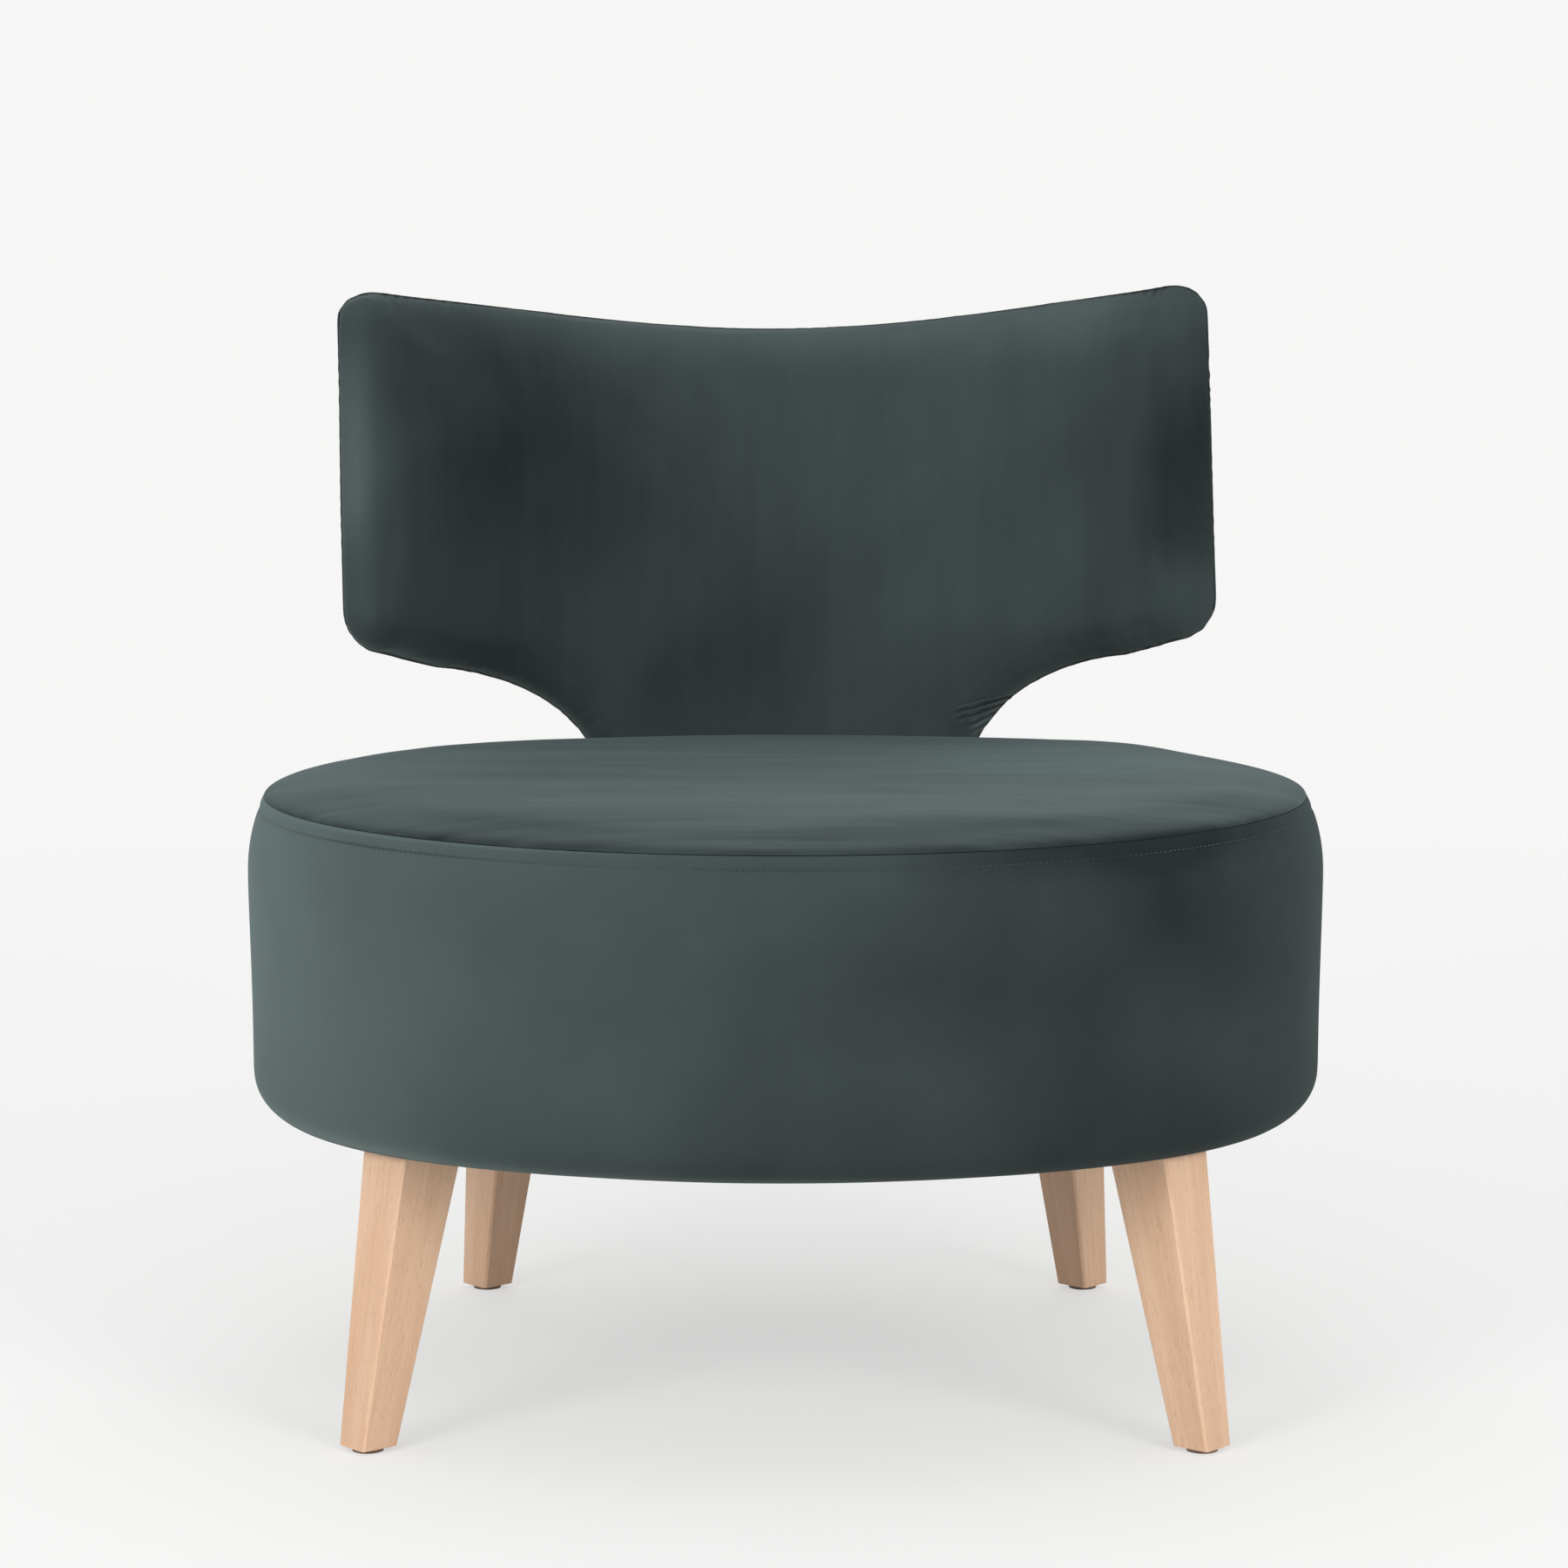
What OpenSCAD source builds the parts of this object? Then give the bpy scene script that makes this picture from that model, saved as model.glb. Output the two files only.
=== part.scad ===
// Low round lounge chair: an upholstered drum seat, a bent winged back on a neck, four splayed legs.
// The front faces -Y and +Z is up. The origin lies on the floor, in the middle of the chair's box.
// Heights of the back are measured along its slope, widths of the back along its curve.

/* [Seat shape] */
// Diameter of the drum at its widest line
seat_d = 720; // [660:5:780]
// Height of the drum's underside above the floor
seat_clear = 190; // [160:5:220]
// Height of the top seam above the underside
seam_rise = 204; // [196:2:220]
// How far the seam lies inside the widest line
seam_inset = 11; // [8:1:14]
// Depth of the widest line below the seam
belly_drop = 49; // [42:1:60]
// How far the band draws in again towards the floor
skirt_inset = 1.5; // [0.5:0.5:3]
// Radius of the drum's bottom edge
band_round = 28; // [22:1:32]
// Width of the rolled shoulder inside the seam
shoulder_w = 40; // [30:2:60]
// Rise of that shoulder above the seam
shoulder_h = 9; // [6:1:12]
// Further rise to the middle of the seat
crown_h = 4; // [1:1:8]

/* [Padding and covers] */
// Thickness of the velvet
cover_t = 1.5; // [1:0.5:2.5]
// Thickness of the black cloth under the seat
dust_t = 0.6; // [0.4:0.1:1]
// Thickness of the wadding over the seat foam
wadding_t = 5; // [3:1:8]
// Height of the seam above the deck that carries the foam
deck_drop = 50; // [44:1:56]
// Width of velvet turned in under the drum
turn_in = 30; // [24:1:40]
// Clearance between a soft piece and its neighbour
soft_gap = 0.3; // [0.2:0.1:0.5]

/* [Seat frame] */
// Depth of the frame's edge inside the widest line
frame_inset = 30; // [26:1:36]
// Thickness of the plywood rings
ring_t = 18; // [15:1:21]
// Width of the ring under the seat
base_ring_w = 110; // [95:5:130]
// Width of the ring that carries the webbing
top_ring_w = 70; // [60:5:85]
// Thickness of the bent board round the frame
hoop_t = 3; // [2:0.5:4]
// Width of the upright posts
post_w = 45; // [35:5:55]
// Depth of the upright posts
post_d = 34; // [28:2:40]
// Angles of the side posts from the front, in degrees
post_angles = [28, 70, 110]; // [20:1:115]
// Width of the block that holds the back
rear_block_w = 220; // [200:5:240]
// Depth of that block, from its flat face to the frame's edge
rear_block_d = 62; // [54:1:70]
// Height of the blocks over the legs
leg_block_h = 36; // [30:1:44]
// Size of those blocks along the frame's edge
leg_block_w = 90; // [80:5:100]
// Size of those blocks towards the middle
leg_block_d = 72; // [64:2:80]

/* [Webbing] */
// Width of a belt
web_w = 50; // [40:5:60]
// Thickness of a belt
web_t = 1.6; // [1.2:0.2:2]
// Distance between the belts
web_pitch = 95; // [85:5:100]
// Number of belts each way
web_n = 5; // [3:2:5]

/* [Legs] */
// Width of the square leg where it meets the seat
leg_top_w = 45; // [38:1:50]
// Width of the leg at the floor
leg_foot_w = 26; // [24:1:34]
// Width of the flat planed on the leg's edges
leg_edge = 2; // [1:0.5:4]
// Distance of the front legs' middle inside the widest line, where they meet the seat
front_leg_inset = 48; // [46:1:60]
// Angle of the front legs from straight ahead
front_leg_turn = 49; // [42:1:52]
// Splay of the front legs
front_splay = 11.3; // [8:0.1:13]
// Distance of the rear legs' middle inside the widest line, where they meet the seat
rear_leg_inset = 71; // [60:1:76]
// Angle of the rear legs from straight back
rear_leg_turn = 43.3; // [40:0.1:50]
// Splay of the rear legs
rear_splay = 9; // [6:0.1:13]
// Diameter of a glide
glide_d = 20; // [16:1:22]
// Thickness of a glide
glide_h = 3; // [2:0.5:5]
// Depth of a leg's bolt in the wood
leg_bolt_depth = 45; // [35:1:60]

/* [Back shape] */
// Distance of the back's middle surface behind the widest line
back_setback = 5.5; // [5:0.5:8]
// Lean of the back, in degrees
lean = 8; // [6:0.5:10]
// Height of the leaning axis above the underside, on the drum's axis
lean_rise = 10; // [5:1:15]
// Half the width of the back, along its curve
wing_half = 363; // [340:1:380]
// Height of the middle of the top edge above the seam
back_rise = 307; // [280:1:330]
// How much higher the wings stand than the middle
wing_rise = 9.2; // [4:0.2:14]
// Distance from the middle at which the top edge has risen
wing_rise_run = 280; // [240:5:300]
// Radius of the upper corners
top_corner_r = 26; // [24:1:40]
// Radius of the lower corners
low_corner_r = 38; // [30:1:50]
// Height of the wings' lower corners above the seam
wing_low = 55; // [50:1:70]
// How far the wings' lower edge drops towards the neck
wing_drop = 8; // [4:1:12]
// Half the width of the neck
neck_half = 142; // [130:1:150]
// Width of the curved cut beside the neck
cut_w = 120; // [100:1:135]
// Height of that curved cut
cut_h = 91; // [80:1:100]
// Height of the neck's lower end above the underside
neck_clear = 16; // [12:1:22]
// Radius of the neck's lower corners
neck_corner_r = 24; // [22:1:30]

/* [Back padding] */
// Half the thickness of the padded back at its edge
pad_half = 20.5; // [19:0.5:23]
// Radius of the padded edge
edge_round = 20; // [18:1:21]
// Extra thickness in the middle of the front
front_crown = 8; // [4:1:12]
// Extra thickness in the middle of the rear
rear_crown = 3; // [1:1:6]
// Thickness of the bent plywood panel
panel_t = 12; // [10:1:13]
// Distance of the panel's front from the back's middle surface
panel_set = 1.5; // [1:0.5:3]
// Distance of the panel's edge inside the padded edge
panel_inset = 8; // [7:1:12]
// Distance of the packer's edge inside the padded edge
packer_inset = 21; // [20:1:24]
// Depth below the seam at which the packer ends and the front foam starts
packer_drop = 59; // [52:1:66]

/* [Fasteners] */
// Diameter of the bolts
bolt_d = 8; // [6:1:10]
// Half the distance between the back's bolts across the neck
bolt_half = 75; // [60:1:90]
// Distance between the two rows of the back's bolts
bolt_row = 56; // [48:1:60]
// Distance of the upper row below the top ring
bolt_drop = 16; // [14:1:22]
// Diameter of the washers
washer_d = 24; // [20:1:26]
// Thickness of the washers
washer_t = 1.8; // [1.4:0.2:2.4]
// Diameter of a tee nut's flange
flange_d = 22; // [20:1:24]
// Thickness of a tee nut's flange
flange_t = 1.6; // [1.2:0.2:2]
// Length of a tee nut's barrel
barrel_l = 9; // [7:1:10]
// Diameter of the frame screws
screw_d = 4; // [3.5:0.5:5]
// Length of the frame screws
screw_l = 45; // [38:1:50]

/* [Hidden] */
$fn = 96;

velvet = [0.20, 0.26, 0.26];
beech = [0.87, 0.70, 0.54];
plywood = [0.80, 0.66, 0.46];
pine = [0.85, 0.72, 0.50];
foam = [0.93, 0.88, 0.66];
wadding = [0.95, 0.95, 0.94];
steel = [0.72, 0.73, 0.75];
black = [0.08, 0.08, 0.08];
belt = [0.30, 0.28, 0.26];

// Room that a bolt has in its hole, and that a thread has in its nut or its wood
hole_play = 0.5;
thread_play = 0.05;
// Room round a washer or a flange in its recess, and least depth of the flat that a flange sits on
recess_play = 1;
flat_depth = 0.5;
barrel_wall = 1;
// Least room between the drum and the back
seat_play = 1;
far = 1000;

seat_r = seat_d / 2;
skirt_r = seat_r - skirt_inset;
seam_r = seat_r - seam_inset;
seam_h = seat_clear + seam_rise;
belly_h = seam_h - belly_drop;
deck_h = seam_h - deck_drop;
band_low = seat_clear + dust_t + soft_gap;
frame_low = band_low + cover_t + soft_gap;
frame_r = seat_r - frame_inset;
base_top = frame_low + ring_t;
top_low = deck_h - ring_t;
hoop_r = frame_r + soft_gap;
foam_r = hoop_r + hoop_t + soft_gap;

// The drum's outline from the axis underneath to the axis on top
arc_step = 15;
belly_steps = 4;
crown_steps = 5;
drum_path = concat(
    [[0, band_low]],
    [for (g = [-90 : arc_step : 0])
        [skirt_r - band_round + band_round * cos(g), band_low + band_round + band_round * sin(g)]],
    [for (i = [1 : belly_steps])
        let (u = i / belly_steps)
        [skirt_r + skirt_inset * (1 - cos(180 * u)) / 2,
         band_low + band_round + u * (belly_h - band_low - band_round)]],
    [for (i = [1 : belly_steps])
        let (u = i / belly_steps)
        [seat_r - seam_inset * u * u, belly_h + u * belly_drop]],
    [for (g = [arc_step : arc_step : 90])
        [seam_r - shoulder_w + shoulder_w * cos(g), seam_h + shoulder_h * sin(g)]],
    [for (i = [1 : crown_steps])
        let (u = 1 - i / crown_steps)
        [(seam_r - shoulder_w) * u, seam_h + shoulder_h + crown_h * (1 - u * u)]]
);

function unit(v) = v / norm(v);
function left_of(p, q) = unit([p.y - q.y, q.x - p.x]);

// One point of a path moved inwards by d, square to the path on both sides of it
function inset_point(path, i, d) =
    let (
        last = len(path) - 1,
        before = i == 0 ? [0, 1] : left_of(path[i - 1], path[i]),
        after = i == last ? [0, -1] : left_of(path[i], path[i + 1]),
        middle = unit(before + after),
        moved = path[i] + middle * d / (middle * before)
    )
    i == 0 ? path[i] + [0, d] : i == last ? path[i] - [0, d] : moved;

function inset_path(path, d) = [for (i = [0 : len(path) - 1]) inset_point(path, i, d)];

// Frames of the back

back_r = seat_r + back_setback;
pivot_h = seat_clear + lean_rise;
// Height along the slope of a point of the back's middle surface at height h above the floor
function slope_z(h) = (h - pivot_h + back_r * sin(lean)) / cos(lean);
seam_z = slope_z(seam_h);
neck_z = slope_z(seat_clear + neck_clear);
top_z = seam_z + back_rise;
wing_z = seam_z + wing_low;
cut_z = wing_z - wing_drop - cut_h;
cut_a = neck_half + cut_w;
low_corner_a = wing_half - low_corner_r;
top_corner_a = wing_half - top_corner_r;
top_corner_z = top_z + wing_rise - top_corner_r;
low_corner_z = wing_z + low_corner_r;
packer_z = seam_z - packer_drop;

function deg(a) = a / back_r * 180 / PI;
function top_edge(a) = top_z + wing_rise * (1 - cos(180 * min(abs(a) / wing_rise_run, 1))) / 2;

// A station of the back's outline: place along the curve, height, and the way inwards
function corner(ca, cz, r, g) = [ca + r * cos(g), cz + r * sin(g), -cos(g), -sin(g)];
function cut_station(g) =
    let (n = unit([-cos(g) / cut_w, sin(g) / cut_h]))
    [cut_a - cut_w * cos(g), cut_z + cut_h * sin(g), n.x, n.y];
function top_station(a) =
    let (slope = top_edge(a + 1) - top_edge(a - 1), n = unit([slope / 2, -1]))
    [a, top_edge(a), n.x, n.y];

neck_columns = [0, 0.36, 0.72, 1] * (neck_half - neck_corner_r);
cut_angles = [15 : 15 : 90];
// Stations under each column of the right half, from the middle out
neck_low_stations = concat(
    [for (a = neck_columns) [a, neck_z, 0, 1]],
    [corner(neck_half - neck_corner_r, neck_z + neck_corner_r, neck_corner_r, -45)]
);
neck_side_heights = [neck_z + neck_corner_r, (neck_z + neck_corner_r + cut_z) / 2];
neck_side_stations = [for (z = neck_side_heights) [neck_half, z, -1, 0]];
low_stations = concat(
    [for (a = neck_columns) [a, cut_z, 0, 0]],
    [[neck_half, cut_z, -1, 0]],
    [for (g = cut_angles) cut_station(g)],
    [corner(low_corner_a, low_corner_z, low_corner_r, -90)],
    [corner(low_corner_a, low_corner_z, low_corner_r, -67.5)],
    [corner(low_corner_a, low_corner_z, low_corner_r, -45)]
);
// Stations over the same columns, and up the side of the wing
top_reach = [0, 0.11, 0.22, 0.33, 0.36, 0.4, 0.45, 0.52, 0.62, 0.74, 0.87] * top_corner_a;
top_stations = concat(
    [for (a = top_reach) top_station(a)],
    [for (g = [90, 67.5, 45]) corner(top_corner_a, top_corner_z, top_corner_r, g)]
);
side_run = top_corner_z - low_corner_z;
side_stations = concat(
    [corner(low_corner_a, low_corner_z, low_corner_r, -22.5)],
    [for (u = [0, 1/3, 2/3, 1]) [wing_half, low_corner_z + u * side_run, -1, 0]],
    [corner(top_corner_a, top_corner_z, top_corner_r, 22.5)]
);
row_shares = [0, 0.03, 0.09, 0.36, 0.64, 0.91, 0.97, 1];
neck_shares = [0, 0.05, 0.5];

half_columns = len(low_stations) - 1;
rows = len(row_shares);
neck_half_columns = len(neck_low_stations) - 1;
neck_rows = len(neck_shares);
columns = 2 * half_columns + 1;

function flip(s, left) = left ? [-s[0], s[1], -s[2], s[3]] : s;
function inward(s, t) = [s[0] + s[2] * t, s[1] + s[3] * t];
function blend(p, q, u) = p + (q - p) * u;

// Stations on the rim, counted like the grid inside it
function upper_station(c, i) =
    let (j = abs(c))
    flip(j == half_columns && i > 0 && i < rows - 1 ? side_stations[i - 1]
        : i == 0 ? low_stations[j] : top_stations[j], c < 0);
function neck_station(c, k) =
    flip(k == 0 ? neck_low_stations[abs(c)] : neck_side_stations[k - 1], c < 0);

// Points of the grid, which lies inside the rounded edge
function upper_point(c, i) =
    abs(c) == half_columns || i == 0 || i == rows - 1
        ? inward(upper_station(c, i), edge_round)
        : blend(inward(upper_station(c, 0), edge_round), inward(upper_station(c, rows - 1), edge_round),
                row_shares[i]);
function neck_point(c, k) =
    abs(c) == neck_half_columns || k == 0
        ? inward(neck_station(c, k), edge_round)
        : blend(inward(neck_station(c, 0), edge_round), upper_point(c, 0), neck_shares[k]);

grid_points = concat(
    [for (c = [-half_columns : half_columns]) for (i = [0 : rows - 1]) upper_point(c, i)],
    [for (c = [-neck_half_columns : neck_half_columns]) for (k = [0 : neck_rows - 1]) neck_point(c, k)]
);
function upper_index(c, i) = (c + half_columns) * rows + i;
function neck_index(c, k) =
    k == neck_rows ? upper_index(c, 0)
        : columns * rows + (c + neck_half_columns) * neck_rows + k;

// The rim, once round from the neck's lower left corner: grid index and station
rim = concat(
    [for (c = [-neck_half_columns : neck_half_columns]) [neck_index(c, 0), neck_station(c, 0)]],
    [for (k = [1 : neck_rows - 1]) [neck_index(neck_half_columns, k), neck_station(neck_half_columns, k)]],
    [for (c = [neck_half_columns : half_columns]) [upper_index(c, 0), upper_station(c, 0)]],
    [for (i = [1 : rows - 2]) [upper_index(half_columns, i), upper_station(half_columns, i)]],
    [for (c = [half_columns : -1 : -half_columns]) [upper_index(c, rows - 1), upper_station(c, rows - 1)]],
    [for (i = [rows - 2 : -1 : 1]) [upper_index(-half_columns, i), upper_station(-half_columns, i)]],
    [for (c = [-half_columns : -neck_half_columns]) [upper_index(c, 0), upper_station(c, 0)]],
    [for (k = [neck_rows - 1 : -1 : 1])
        [neck_index(-neck_half_columns, k), neck_station(-neck_half_columns, k)]]
);
rim_n = len(rim);
grid_n = len(grid_points);
ring_shares = [0, 0.12, 0.45];
rings = len(ring_shares);
sheet_n = grid_n + rings * rim_n;

// Share of the full thickness that a rounded edge has at a share u of its radius.
// It runs straight from ring to ring, so that the layers of the padding nest without cutting each other.
rounding_steps = [for (u = concat(ring_shares, [1])) [u, sqrt(1 - (1 - u) * (1 - u))]];
function rounding(u) = lookup(u, rounding_steps);

drum_clear_r = seat_r + seat_play;
// Distance from the leaning axis to the upright cylinder that clears the drum
function drum_radius(g, z) =
    let (
        a = sin(g) * sin(g) + cos(g) * cos(g) * cos(lean) * cos(lean),
        b = 2 * cos(g) * cos(lean) * z * sin(lean),
        c = z * z * sin(lean) * sin(lean) - drum_clear_r * drum_clear_r
    )
    (-b + sqrt(b * b - 4 * a * c)) / (2 * a);

// Share of the crown at a place of the back: none at the wings, and little left at the top edge
top_fade = 0.8;
function crowning(a, z) =
    let (
        u = a / wing_half,
        mid_z = (top_z + wing_z) / 2,
        v = max(0, z - mid_z) / (top_z - mid_z)
    )
    (1 - u * u) * (1 - top_fade * v * v);

// Radius of the padded surface on a layer d below the velvet's face
function front_radius(p, share, d) =
    max(back_r - soft_gap / 2 - (pad_half - d - soft_gap / 2 + front_crown * crowning(p.x, p.y)) * share,
        drum_radius(deg(p.x), p.y) + d);
function rear_radius(p, share, d) =
    back_r + soft_gap / 2 + (pad_half - d - soft_gap / 2 + rear_crown * crowning(p.x, p.y)) * share;

// Sheets of points on the back: kind 0 is the padded front, 1 the padded rear,
// any other value is the radius of a plain bent sheet. The sheet's edge lies inset from the outline.
function sheet_radius(kind, p, t, d) =
    let (share = rounding((t - d) / (edge_round - d)))
    kind == 0 ? front_radius(p, share, d) : kind == 1 ? rear_radius(p, share, d) : kind;
function bent(p, r) = [r * sin(deg(p.x)), r * cos(deg(p.x)), p.y];
function sheet(kind, inset, d) = concat(
    [for (p = grid_points) bent(p, sheet_radius(kind, p, edge_round, d))],
    [for (share = ring_shares)
        let (t = inset + (edge_round - inset) * share)
        for (place = rim)
            let (p = inward(place[1], t))
            bent(p, sheet_radius(kind, p, t, d))]
);

function ring_index(m, n) = m == rings ? rim[n % rim_n][0] : grid_n + m * rim_n + n % rim_n;
quads = concat(
    [for (c = [-half_columns : half_columns - 1]) for (i = [0 : rows - 2])
        [upper_index(c, i), upper_index(c + 1, i), upper_index(c + 1, i + 1), upper_index(c, i + 1)]],
    [for (c = [-neck_half_columns : neck_half_columns - 1]) for (k = [0 : neck_rows - 1])
        [neck_index(c, k), neck_index(c + 1, k), neck_index(c + 1, k + 1), neck_index(c, k + 1)]],
    [for (m = [0 : rings - 1]) for (n = [0 : rim_n - 1])
        [ring_index(m, n), ring_index(m, n + 1), ring_index(m + 1, n + 1), ring_index(m + 1, n)]]
);
// The rim between the first sheet and the second
edge_quads = [for (n = [0 : rim_n - 1])
    [ring_index(0, n + 1), ring_index(0, n), ring_index(0, n) + sheet_n, ring_index(0, n + 1) + sheet_n]];

function triangles(q) = [[q[0], q[1], q[2]], [q[0], q[2], q[3]]];
function turned(q) = [q[3], q[2], q[1], q[0]];
function moved(q) = [for (i = q) i + sheet_n];

// A closed solid between a front sheet and the sheet behind it
module padded(front, behind) {
    sides = concat(
        [for (q = quads) each triangles(turned(q))],
        [for (q = quads) each triangles(moved(q))],
        [for (q = edge_quads) each triangles(turned(q))]
    );
    polyhedron(concat(front, behind), sides, convexity = 6);
}

// The outline as a plain polygon, inset by t and seen along the chair, for pieces cut straight through
cut_step = 10;
corner_step = 15;
top_steps = 12;
half_outline = concat(
    [[0, neck_z, 0, 1]],
    [for (g = [-90 : corner_step : 0])
        corner(neck_half - neck_corner_r, neck_z + neck_corner_r, neck_corner_r, g)],
    [for (g = [0 : cut_step : 90]) cut_station(g)],
    [for (g = [-90 : corner_step : 0]) corner(low_corner_a, low_corner_z, low_corner_r, g)],
    [for (g = [0 : corner_step : 90]) corner(top_corner_a, top_corner_z, top_corner_r, g)],
    [for (i = [top_steps - 1 : -1 : 0]) top_station(i / top_steps * top_corner_a)]
);
function along(p, r) = [r * sin(deg(p.x)), p.y];
function outline(t, r) = concat(
    [for (s = half_outline) along(inward(s, t), r)],
    [for (i = [len(half_outline) - 2 : -1 : 1]) along(inward(flip(half_outline[i], true), t), r)]
);

panel_r = back_r + panel_set;
panel_rear_r = panel_r + panel_t;

// The back's rearmost point decides how far the drum's axis lies in front of the origin
rear_face = sheet(1, 0, 0);
rear_reach = max([for (p = rear_face) p.y * cos(lean) + p.z * sin(lean)]);
axis_y = (seat_r - rear_reach) / 2;

module on_axis() { translate([0, axis_y, 0]) children(); }
module on_back() { translate([0, axis_y, pivot_h]) rotate([-lean, 0, 0]) children(); }

module drum(d) {
    rotate_extrude() polygon(inset_path(drum_path, d));
}
module above(z) { translate([0, 0, z]) cylinder(r = far, h = far); }
module below(z) { translate([0, 0, z - far]) cylinder(r = far, h = far); }
module tube(r_out, r_in, z0, z1) {
    difference() {
        translate([0, 0, z0]) cylinder(r = r_out, h = z1 - z0);
        translate([0, 0, z0 - 1]) cylinder(r = r_in, h = z1 - z0 + 2);
    }
}

// Legs, numbered front left, front right, rear left, rear right

leg_angle = [-90 - front_leg_turn, -90 + front_leg_turn, 90 + rear_leg_turn, 90 - rear_leg_turn];
leg_inset = [front_leg_inset, front_leg_inset, rear_leg_inset, rear_leg_inset];
leg_splay = [front_splay, front_splay, rear_splay, rear_splay];
LEGS = [0 : 3];
leg_block_top = base_top + leg_block_h;
recess_r = flange_d / 2 + recess_play;
barrel_r = bolt_d / 2 + barrel_wall;

function leg_length(k) = seat_clear / cos(leg_splay[k]);
// Height, along the leg's axis, of the flat that its tee nut sits on
function tee_seat(k) =
    leg_block_top / cos(leg_splay[k]) - (recess_r + recess_play) * tan(leg_splay[k]) - flat_depth;
// Distance of the leg's middle from the drum's axis, at height h above the floor
function axis_r(k, h) = seat_r - leg_inset[k] + (seat_clear - h) * tan(leg_splay[k]);

module at_leg(k) {
    on_axis() rotate([0, 0, leg_angle[k]]) translate([axis_r(k, 0), 0, 0]) rotate([0, -leg_splay[k], 0])
        children();
}
module leg_bore(r) {
    for (k = LEGS)
        at_leg(k) translate([0, 0, leg_length(k) - leg_bolt_depth]) cylinder(r = r, h = far / 2);
}

// A leg before its level ends are cut, with the four edges planed off by the turns of 45 and 135 degrees
module leg_blank(k) {
    extra = 30;
    slope = (leg_top_w - leg_foot_w) / 2 / leg_length(k);
    function half_w(z, turn) =
        let (w = leg_foot_w / 2 + slope * z)
        turn % 90 == 0 ? w : w * sqrt(2) - leg_edge / 2;
    intersection_for (turn = [0, 45, 90, 135])
        rotate([90, 0, turn])
            linear_extrude(height = 2 * leg_top_w, center = true)
                polygon([
                    for (z = [-extra, leg_length(k) + extra]) for (side = [-1, 1])
                        [(z < 0 ? side : -side) * half_w(z, turn), z]
                ]);
}

// The pin that holds a glide in the leg
pin_d = 2.5;
pin_l = 14;
module glide_place(k) {
    on_axis() rotate([0, 0, leg_angle[k]]) translate([axis_r(k, glide_h), 0, 0]) children();
}

module leg(k) {
    color(beech)
        difference() {
            intersection() {
                at_leg(k) leg_blank(k);
                translate([0, 0, glide_h]) cylinder(r = far, h = seat_clear - glide_h);
            }
            at_leg(k) translate([0, 0, leg_length(k) - leg_bolt_depth - hole_play])
                cylinder(r = bolt_d / 2 + thread_play, h = far / 2);
            glide_place(k) cylinder(r = pin_d / 2 + thread_play, h = glide_h + pin_l + hole_play);
        }
}

module glide(k) {
    color(black)
        glide_place(k) {
            cylinder(d = glide_d, h = glide_h);
            cylinder(d = pin_d, h = glide_h + pin_l);
        }
}

module leg_bolts() {
    color(steel)
        for (k = LEGS)
            at_leg(k) translate([0, 0, leg_length(k) - leg_bolt_depth])
                cylinder(d = bolt_d, h = tee_seat(k) + flange_t - leg_length(k) + leg_bolt_depth);
}

module tee_nut() {
    difference() {
        union() {
            cylinder(d = flange_d, h = flange_t);
            translate([0, 0, -barrel_l]) cylinder(r = barrel_r, h = barrel_l + flange_t);
        }
        translate([0, 0, -barrel_l - 1])
            cylinder(r = bolt_d / 2 + thread_play, h = barrel_l + flange_t + 2);
    }
}

module leg_tee_nuts() {
    color(steel)
        for (k = LEGS) at_leg(k) translate([0, 0, tee_seat(k)]) tee_nut();
}

// Bolts of the back, along the back's own depth

block_face = frame_r - rear_block_d;
// Least depth in the block of the flats that the washers sit on
spot_depth = 7;
bolt_top_h = top_low - bolt_drop;
washer_low_h = bolt_top_h - bolt_row - washer_d / 2;
bolt_seat = (block_face + spot_depth) * cos(lean) - (washer_low_h - pivot_h) * sin(lean);
function bolt_z(h) = (h - pivot_h + bolt_seat * sin(lean)) / cos(lean);
bolt_heights = [bolt_z(bolt_top_h - bolt_row), bolt_z(bolt_top_h)];
// A hexagon head is this wide across its corners, and this high, for each unit of the bolt's diameter
head_d = 1.875 * bolt_d;
head_h = 0.66 * bolt_d;
// Flat on the panel's rear, deep enough for the whole flange
panel_flat = sqrt(panel_rear_r * panel_rear_r - pow(bolt_half + recess_r, 2)) - flat_depth;

module at_bolts() {
    on_back()
        for (side = [-1, 1]) for (z = bolt_heights)
            translate([side * bolt_half, 0, z]) rotate([-90, 0, 0]) children();
}
module back_bore(r, from, to) {
    at_bolts() translate([0, 0, from]) cylinder(r = r, h = to - from);
}
bolt_hole_r = bolt_d / 2 + hole_play;

module back_bolts() {
    color(steel)
        at_bolts() {
            translate([0, 0, bolt_seat - washer_t - head_h]) cylinder(d = head_d, h = head_h, $fn = 6);
            translate([0, 0, bolt_seat - washer_t]) cylinder(d = bolt_d, h = panel_flat + flange_t
                - bolt_seat + washer_t);
        }
}

module back_washers() {
    color(steel)
        at_bolts() translate([0, 0, bolt_seat - washer_t])
            difference() {
                cylinder(d = washer_d, h = washer_t);
                translate([0, 0, -washer_t]) cylinder(r = bolt_d / 2 + hole_play / 2, h = 3 * washer_t);
            }
}

module back_tee_nuts() {
    color(steel) at_bolts() translate([0, 0, panel_flat]) tee_nut();
}

// Frame of the seat

side_angles = concat([0], post_angles, -post_angles);
// How far the posts and the block's screws lie inside the frame's edge and middle
post_setback = 4;
post_r = frame_r - post_setback - post_d / 2;
post_places = [for (g = side_angles) post_r * [sin(g), -cos(g)]];
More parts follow.
